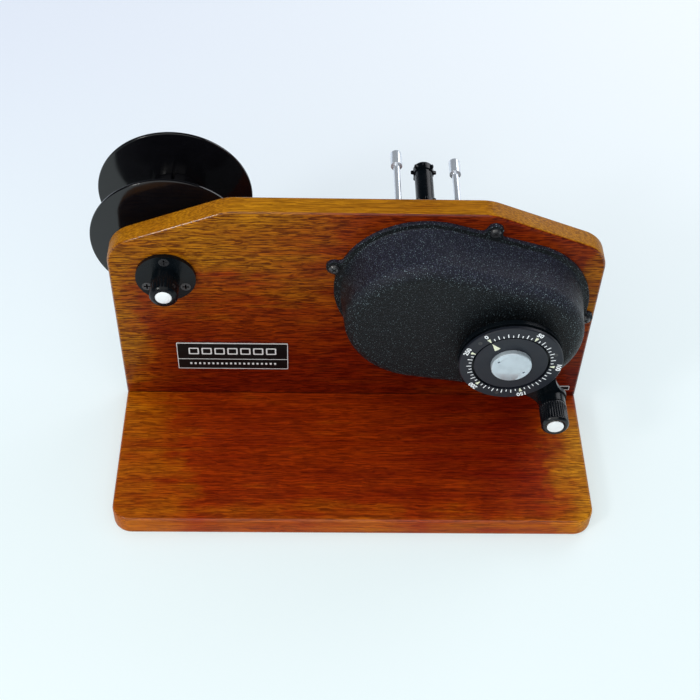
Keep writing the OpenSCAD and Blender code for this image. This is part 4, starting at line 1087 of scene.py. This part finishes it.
@dataclass
class Crank:
    """The crank arm with its scale ring and handle, and the counter's pointer disc and cap."""

    zero: float = 126.0
    step: float = 65.5
    ticks: int = 10
    number_r: float = 26.0 * MM
    number_size: float = 3.7 * MM
    proud: float = 0.05 * MM

    def ray(self, count: float) -> float:
        """Angle of a count of steps on the dial, clockwise from the zero, in radians."""
        return math.radians(self.zero - self.step * count)

    def mark(self, axis: Axis, angle: float, way: Way, face: float) -> Surface:
        """A raised mark along a ray: a bar, or a wedge that widens outwards."""
        near, far, thin, thick = {
            Way.LONG: (21.3, 23.9, 0.5, 0.5),
            Way.SHORT: (21.3, 22.8, 0.5, 0.5),
            Way.WEDGE: (21.2, 23.8, 0.4, 1.8)}[way]
        along, side = np.array([math.cos(angle), math.sin(angle)]), np.array([-math.sin(angle), math.cos(angle)])
        middle = np.array([axis.x, axis.z])
        flat = np.array([middle + along * r * MM + side * s * w * MM / 2
                         for r, s, w in ((near, -1, thin), (near, 1, thin), (far, 1, thick), (far, -1, thick))])
        return capped_grid(np.stack([np.insert(flat, 1, y, axis=1) for y in (face, face - self.proud)]))

    def numeral(self, text: str, axis: Axis, angle: float, face: float) -> bpy.types.Mesh:
        """A number on the dial as a mesh, its top outwards, laid flat on the face."""
        letters = bpy.data.curves.new("numeral", "FONT")
        letters.body, letters.size, letters.extrude = text, self.number_size, self.proud / 2
        letters.offset = 0.10 * MM
        letters.align_x, letters.align_y = "CENTER", "CENTER"
        writer = bpy.data.objects.new("numeral", letters)
        bpy.context.scene.collection.objects.link(writer)
        bpy.context.view_layer.update()
        mesh = bpy.data.meshes.new_from_object(writer.evaluated_get(bpy.context.evaluated_depsgraph_get()))
        bpy.data.objects.remove(writer)
        bpy.data.curves.remove(letters)
        spot = axis.polar(self.number_r, angle, face - self.proud / 2)
        stand = Matrix.Rotation(math.pi / 2, 4, "X")
        turn = Matrix.Rotation(math.pi / 2 - angle, 4, "Y")
        mesh.transform(Matrix.Translation(Vector(spot)) @ turn @ stand)
        return mesh

    def scale(self) -> list[tuple[bpy.types.Object, Finish]]:
        """The scale: ticks between the numbers, wedges at the numbers, and the numbers themselves."""
        axis, face = Axis.of("scale_ring"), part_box("scale_ring")[0].y
        bars, wedges, numbers = [], [], bmesh.new()
        for n in range(6):
            wedges.append(self.mark(axis, self.ray(n), Way.WEDGE, face))
            letters = self.numeral(str(50 * n), axis, self.ray(n), face)
            numbers.from_mesh(letters)
            bpy.data.meshes.remove(letters)
            if n < 5:
                bars += [self.mark(axis, self.ray(n + k / self.ticks), Way.LONG if k % 2 == 0 else Way.SHORT, face)
                         for k in range(1, self.ticks)]
        bmesh.ops.remove_doubles(numbers, verts=numbers.verts, dist=1e-7)
        mesh = bpy.data.meshes.new("dial_numbers")
        numbers.to_mesh(mesh)
        numbers.free()
        letters = bpy.data.objects.new("dial_numbers", mesh)
        bpy.context.scene.collection.objects.link(letters)
        return [(join(bars).build("dial_ticks"), WHITE), (join(wedges).build("dial_wedges"), CREAM), (letters, WHITE)]

    def arrow(self) -> bpy.types.Object:
        """The painted arrow on the pointer disc, aimed at the zero."""
        axis, face = Axis.of("pointer_disc"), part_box("pointer_disc")[0].y
        angle = math.radians(self.zero + 1)
        along, side = np.array([math.cos(angle), math.sin(angle)]), np.array([-math.sin(angle), math.cos(angle)])
        flat = np.array([np.array([axis.x, axis.z]) + along * r * MM + side * s * MM
                         for r, s in ((19.4, 0.0), (13.9, -1.7), (13.6, 0.0), (13.9, 1.7))])
        grid = np.stack([np.insert(flat, 1, y, axis=1) for y in (face, face - self.proud)])
        return capped_grid(grid).build("pointer_arrow")

    def grip(self) -> bpy.types.Object:
        """The turning grip: a barrel with ridges r = R - d (1 + cos(n a)) / 2 between two smooth bevelled ends."""
        low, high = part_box("handle_grip")
        axis, outer, ridges, deep = Axis.of("handle_grip"), (high.x - low.x) / 2, 32, 0.55 * MM
        angle = np.arange(ridges * 8) * 2 * np.pi / (ridges * 8)
        groove = ((1 + np.cos(ridges * angle)) / 2) ** 1.5
        bore = 5.0 * MM
        rows = [(bore, low.y + 1.7 * MM, 0.0), (bore, low.y + 0.2 * MM, 0.0), (bore + 0.2 * MM, low.y, 0.0),
                (outer - 1.3 * MM, low.y, 0.0), (outer - 1.0 * MM, low.y + 0.1 * MM, 0.0),
                (outer - 0.1 * MM, low.y + 1.0 * MM, 0.0), (outer, low.y + 1.3 * MM, 0.0),
                (outer, low.y + 1.5 * MM, 0.0), (outer, low.y + 1.9 * MM, 1.0), (outer, high.y - 1.7 * MM, 1.0),
                (outer, high.y - 1.3 * MM, 0.0), (outer, high.y - 0.4 * MM, 0.0), (outer - 0.4 * MM, high.y, 0.0),
                (bore, high.y, 0.0)]
        grid = np.stack([axis.polar(r - deep * groove * on, angle, y) for r, y, on in rows])
        return tube_grid(grid).build("handle_grip_ridged", math.radians(50))

    def build(self) -> None:
        """Build and dress the crank."""
        bright = turned("handle_spindle", "spindle_steel", "steel", colour=(0.93, 0.95, 0.96), rough=0.4, marks=0.001,
                        metallic=0.35)
        cap = turned("cap_nut", "cap_alloy", "alloy", colour=(0.58, 0.66, 0.71), rough=0.42, marks=0.002, metallic=0.5)
        dress(refined("crank_arm", 0.3 * MM), ENAMEL, "crank", "crank_arm")
        dress(refined("scale_ring", 0.15 * MM), DIAL_BLACK, "crank", "scale_ring")
        dress(refined("ring_screws", 0.06 * MM), SCREW_BLACK, "crank", "ring_screws")
        for piece, finish in self.scale():
            dress(piece, finish, "crank")
        dress(self.grip(), GRIP_BLACK, "handle", "handle_grip")
        dress(refined("handle_spindle", 0.2 * MM), bright, "crank", "handle_spindle")
        dress(refined("pointer_disc", 0.15 * MM), DIAL_BLACK, "pointer", "pointer_disc")
        dress(refined("cap_nut", 0.25 * MM), cap, "pointer", "cap_nut")
        dress(self.arrow(), CREAM, "pointer")


@dataclass
class FilmPath:
    """The guide posts and the sprocket behind the board, and the magazine's seat and spindle."""

    def build(self) -> None:
        """Build and dress the film path."""
        for node in ("left_post", "right_post"):
            chrome = turned(node, node + "_chrome", "chrome", colour=(0.80, 0.85, 0.91), rough=0.2, marks=0.0005,
                            metallic=0.6)
            dress(refined(node, 0.2 * MM), chrome, "frame", node)
        dress(refined("sprocket_drum", 0.08 * MM), ENAMEL, "sprocket", "sprocket_drum")
        dress(refined("sprocket_end_screw", 0.1 * MM), SCREW_BLACK, "sprocket", "sprocket_end_screw")
        steel = turned("sprocket_shaft", "sprocket_steel", "steel")
        dress(refined("sprocket_shaft", 0.2 * MM), steel, "sprocket", "sprocket_shaft")
        dress(refined("magazine_seat", 0.4 * MM), ENAMEL, "frame", "magazine_seat")
        dress(refined("seat_screws", 0.08 * MM), SCREW_BLACK, "frame", "seat_screws")
        spindle = turned("takeup_spindle", "takeup_steel", "steel")
        dress(refined("takeup_spindle", 0.15 * MM), spindle, "takeup", "takeup_spindle")


LABEL_METAL = Metal("label_metal", "label_metal", colour=(0.80, 0.81, 0.80), rough=0.45, metallic=0.3)
BRIGHT = Metal("bright_steel", "steel", colour=(0.70, 0.71, 0.73), rough=0.26)
BRASS = turned("crank_bush", "bearing_brass", "brass", colour=(0.78, 0.60, 0.30), rough=0.3)


# ---- Studio ---------------------------------------------------------------------------------


@dataclass
class Studio:
    """A pale floor, soft light and the camera."""

    place: tuple[float, float, float] = (-0.02167, -0.49618, 0.61238)
    azimuth: float = 2.247
    elevation: float = 48.427
    roll: float = 2.2225
    lens: float = 66.3
    floor_half: float = 4.0

    def floor(self) -> None:
        """A pale floor that lights itself a little, so its shadows stay faint; its glow holds painted light and shade,
        brighter to the right and changing from front to back.
        """
        h = self.floor_half
        corners = np.array([[-h, -h, 0], [h, -h, 0], [h, h, 0], [-h, h, 0]])
        sheet = Surface(corners, [np.array([[0, 1, 2, 3]])]).build("studio_floor")
        paper = bpy.data.materials.new("studio_paper")
        paper.use_nodes = True
        paper.node_tree.nodes.clear()
        w = Wiring(paper.node_tree)
        shader = w.add("ShaderNodeBsdfPrincipled", {"Roughness": 0.9, "Specular IOR Level": 0.0})
        w.add("ShaderNodeOutputMaterial", {"Surface": shader.outputs[0]})
        depth = w.add("ShaderNodeSeparateXYZ", {0: w.place()}).outputs["Y"]
        far = w.spread(depth, -150.0, 450.0)
        side = w.spread(w.add("ShaderNodeSeparateXYZ", {0: w.place()}).outputs["X"], -400.0, 400.0)
        light = w.mix(side, (0.62, 0.61, 0.68), (0.80, 0.78, 0.72))
        w.feed(shader, "Base Color", w.mix(far, (0.50, 0.53, 0.55), (0.46, 0.52, 0.58)))
        # Painted light and shade in the glow: brighter to the right, and a different strength and colour near the front
        # than further back.
        w.feed(shader, "Emission Color", w.mix(far, (0.65, 0.77, 0.75), light))
        shader.inputs["Emission Strength"].default_value = 0.55
        sheet.data.materials.append(paper)

    def world(self) -> None:
        """Pale light all round, which glossy surfaces see only low down, as in a room with a dark ceiling."""
        sky = bpy.data.worlds.new("studio_world")
        sky.use_nodes = True
        sky.node_tree.nodes.clear()
        w = Wiring(sky.node_tree)
        height = w.add("ShaderNodeSeparateXYZ", {0: w.add("ShaderNodeTexCoord").outputs["Generated"]}).outputs["Z"]
        room = w.mix(w.spread(height, 0.0, 0.35), (0.30, 0.32, 0.36), (0.012, 0.014, 0.018))
        glossy = w.add("ShaderNodeLightPath").outputs["Is Glossy Ray"]
        light = w.add("ShaderNodeBackground", {"Color": w.mix(glossy, (0.86, 0.93, 1.0), room), "Strength": 0.62})
        w.add("ShaderNodeOutputWorld", {"Surface": light.outputs[0]})
        bpy.context.scene.world = sky

    def lamp(self, name: str, aim: Sequence[float], away: float, size: float, power: float, colour: Colour) -> None:
        """An area light that faces the loader from a direction."""
        light = bpy.data.lights.new(name, "AREA")
        light.shape, light.size, light.energy, light.color = "DISK", size, power, colour
        lamp = bpy.data.objects.new(name, light)
        bpy.context.scene.collection.objects.link(lamp)
        way = Vector(aim).normalized()
        middle = (CAD_BOX[0] + CAD_BOX[1]) / 2
        lamp.location = middle + way * away
        lamp.rotation_euler = way.to_track_quat("Z", "Y").to_euler()

    def camera(self) -> None:
        """The camera, aimed by its azimuth, elevation and roll."""
        lens = bpy.data.cameras.new("camera")
        lens.lens, lens.sensor_width, lens.clip_start = self.lens, 36.0, 0.01
        az, el, roll = (math.radians(v) for v in (self.azimuth, self.elevation, self.roll))
        ahead = Vector((math.sin(az) * math.cos(el), math.cos(az) * math.cos(el), -math.sin(el)))
        right = ahead.cross(Vector((0, 0, 1))).normalized()
        up = right.cross(ahead)
        right, up = math.cos(roll) * right + math.sin(roll) * up, -math.sin(roll) * right + math.cos(roll) * up
        camera = bpy.data.objects.new("camera", lens)
        bpy.context.scene.collection.objects.link(camera)
        camera.matrix_world = Matrix.Translation(self.place) @ Matrix((right, up, -ahead)).transposed().to_4x4()
        bpy.context.scene.camera = camera

    def build(self) -> None:
        """Set up the studio."""
        bpy.context.scene.view_settings.view_transform = "Standard"
        self.floor()
        self.world()
        self.lamp("window", (0.62, 0.66, 0.43), 1.2, 0.7, 3.5, (0.95, 0.96, 1.0))
        self.lamp("key", (-0.25, -0.75, 0.85), 1.5, 2.2, 13.5, (1.0, 0.99, 0.97))
        self.lamp("glint", (-0.615, -0.545, 0.5685), 1.28, 0.22, 3.2, (1.0, 0.99, 0.95))
        self.camera()


def main() -> None:
    """Build the studio and every sub-assembly."""
    logging.basicConfig(level=logging.INFO, format="%(name)s: %(message)s")
    Studio().build()
    Stand().build()
    Reel().build()
    GearCase().build()
    Crank().build()
    FilmPath().build()


if __name__ == "__main__":
    main()
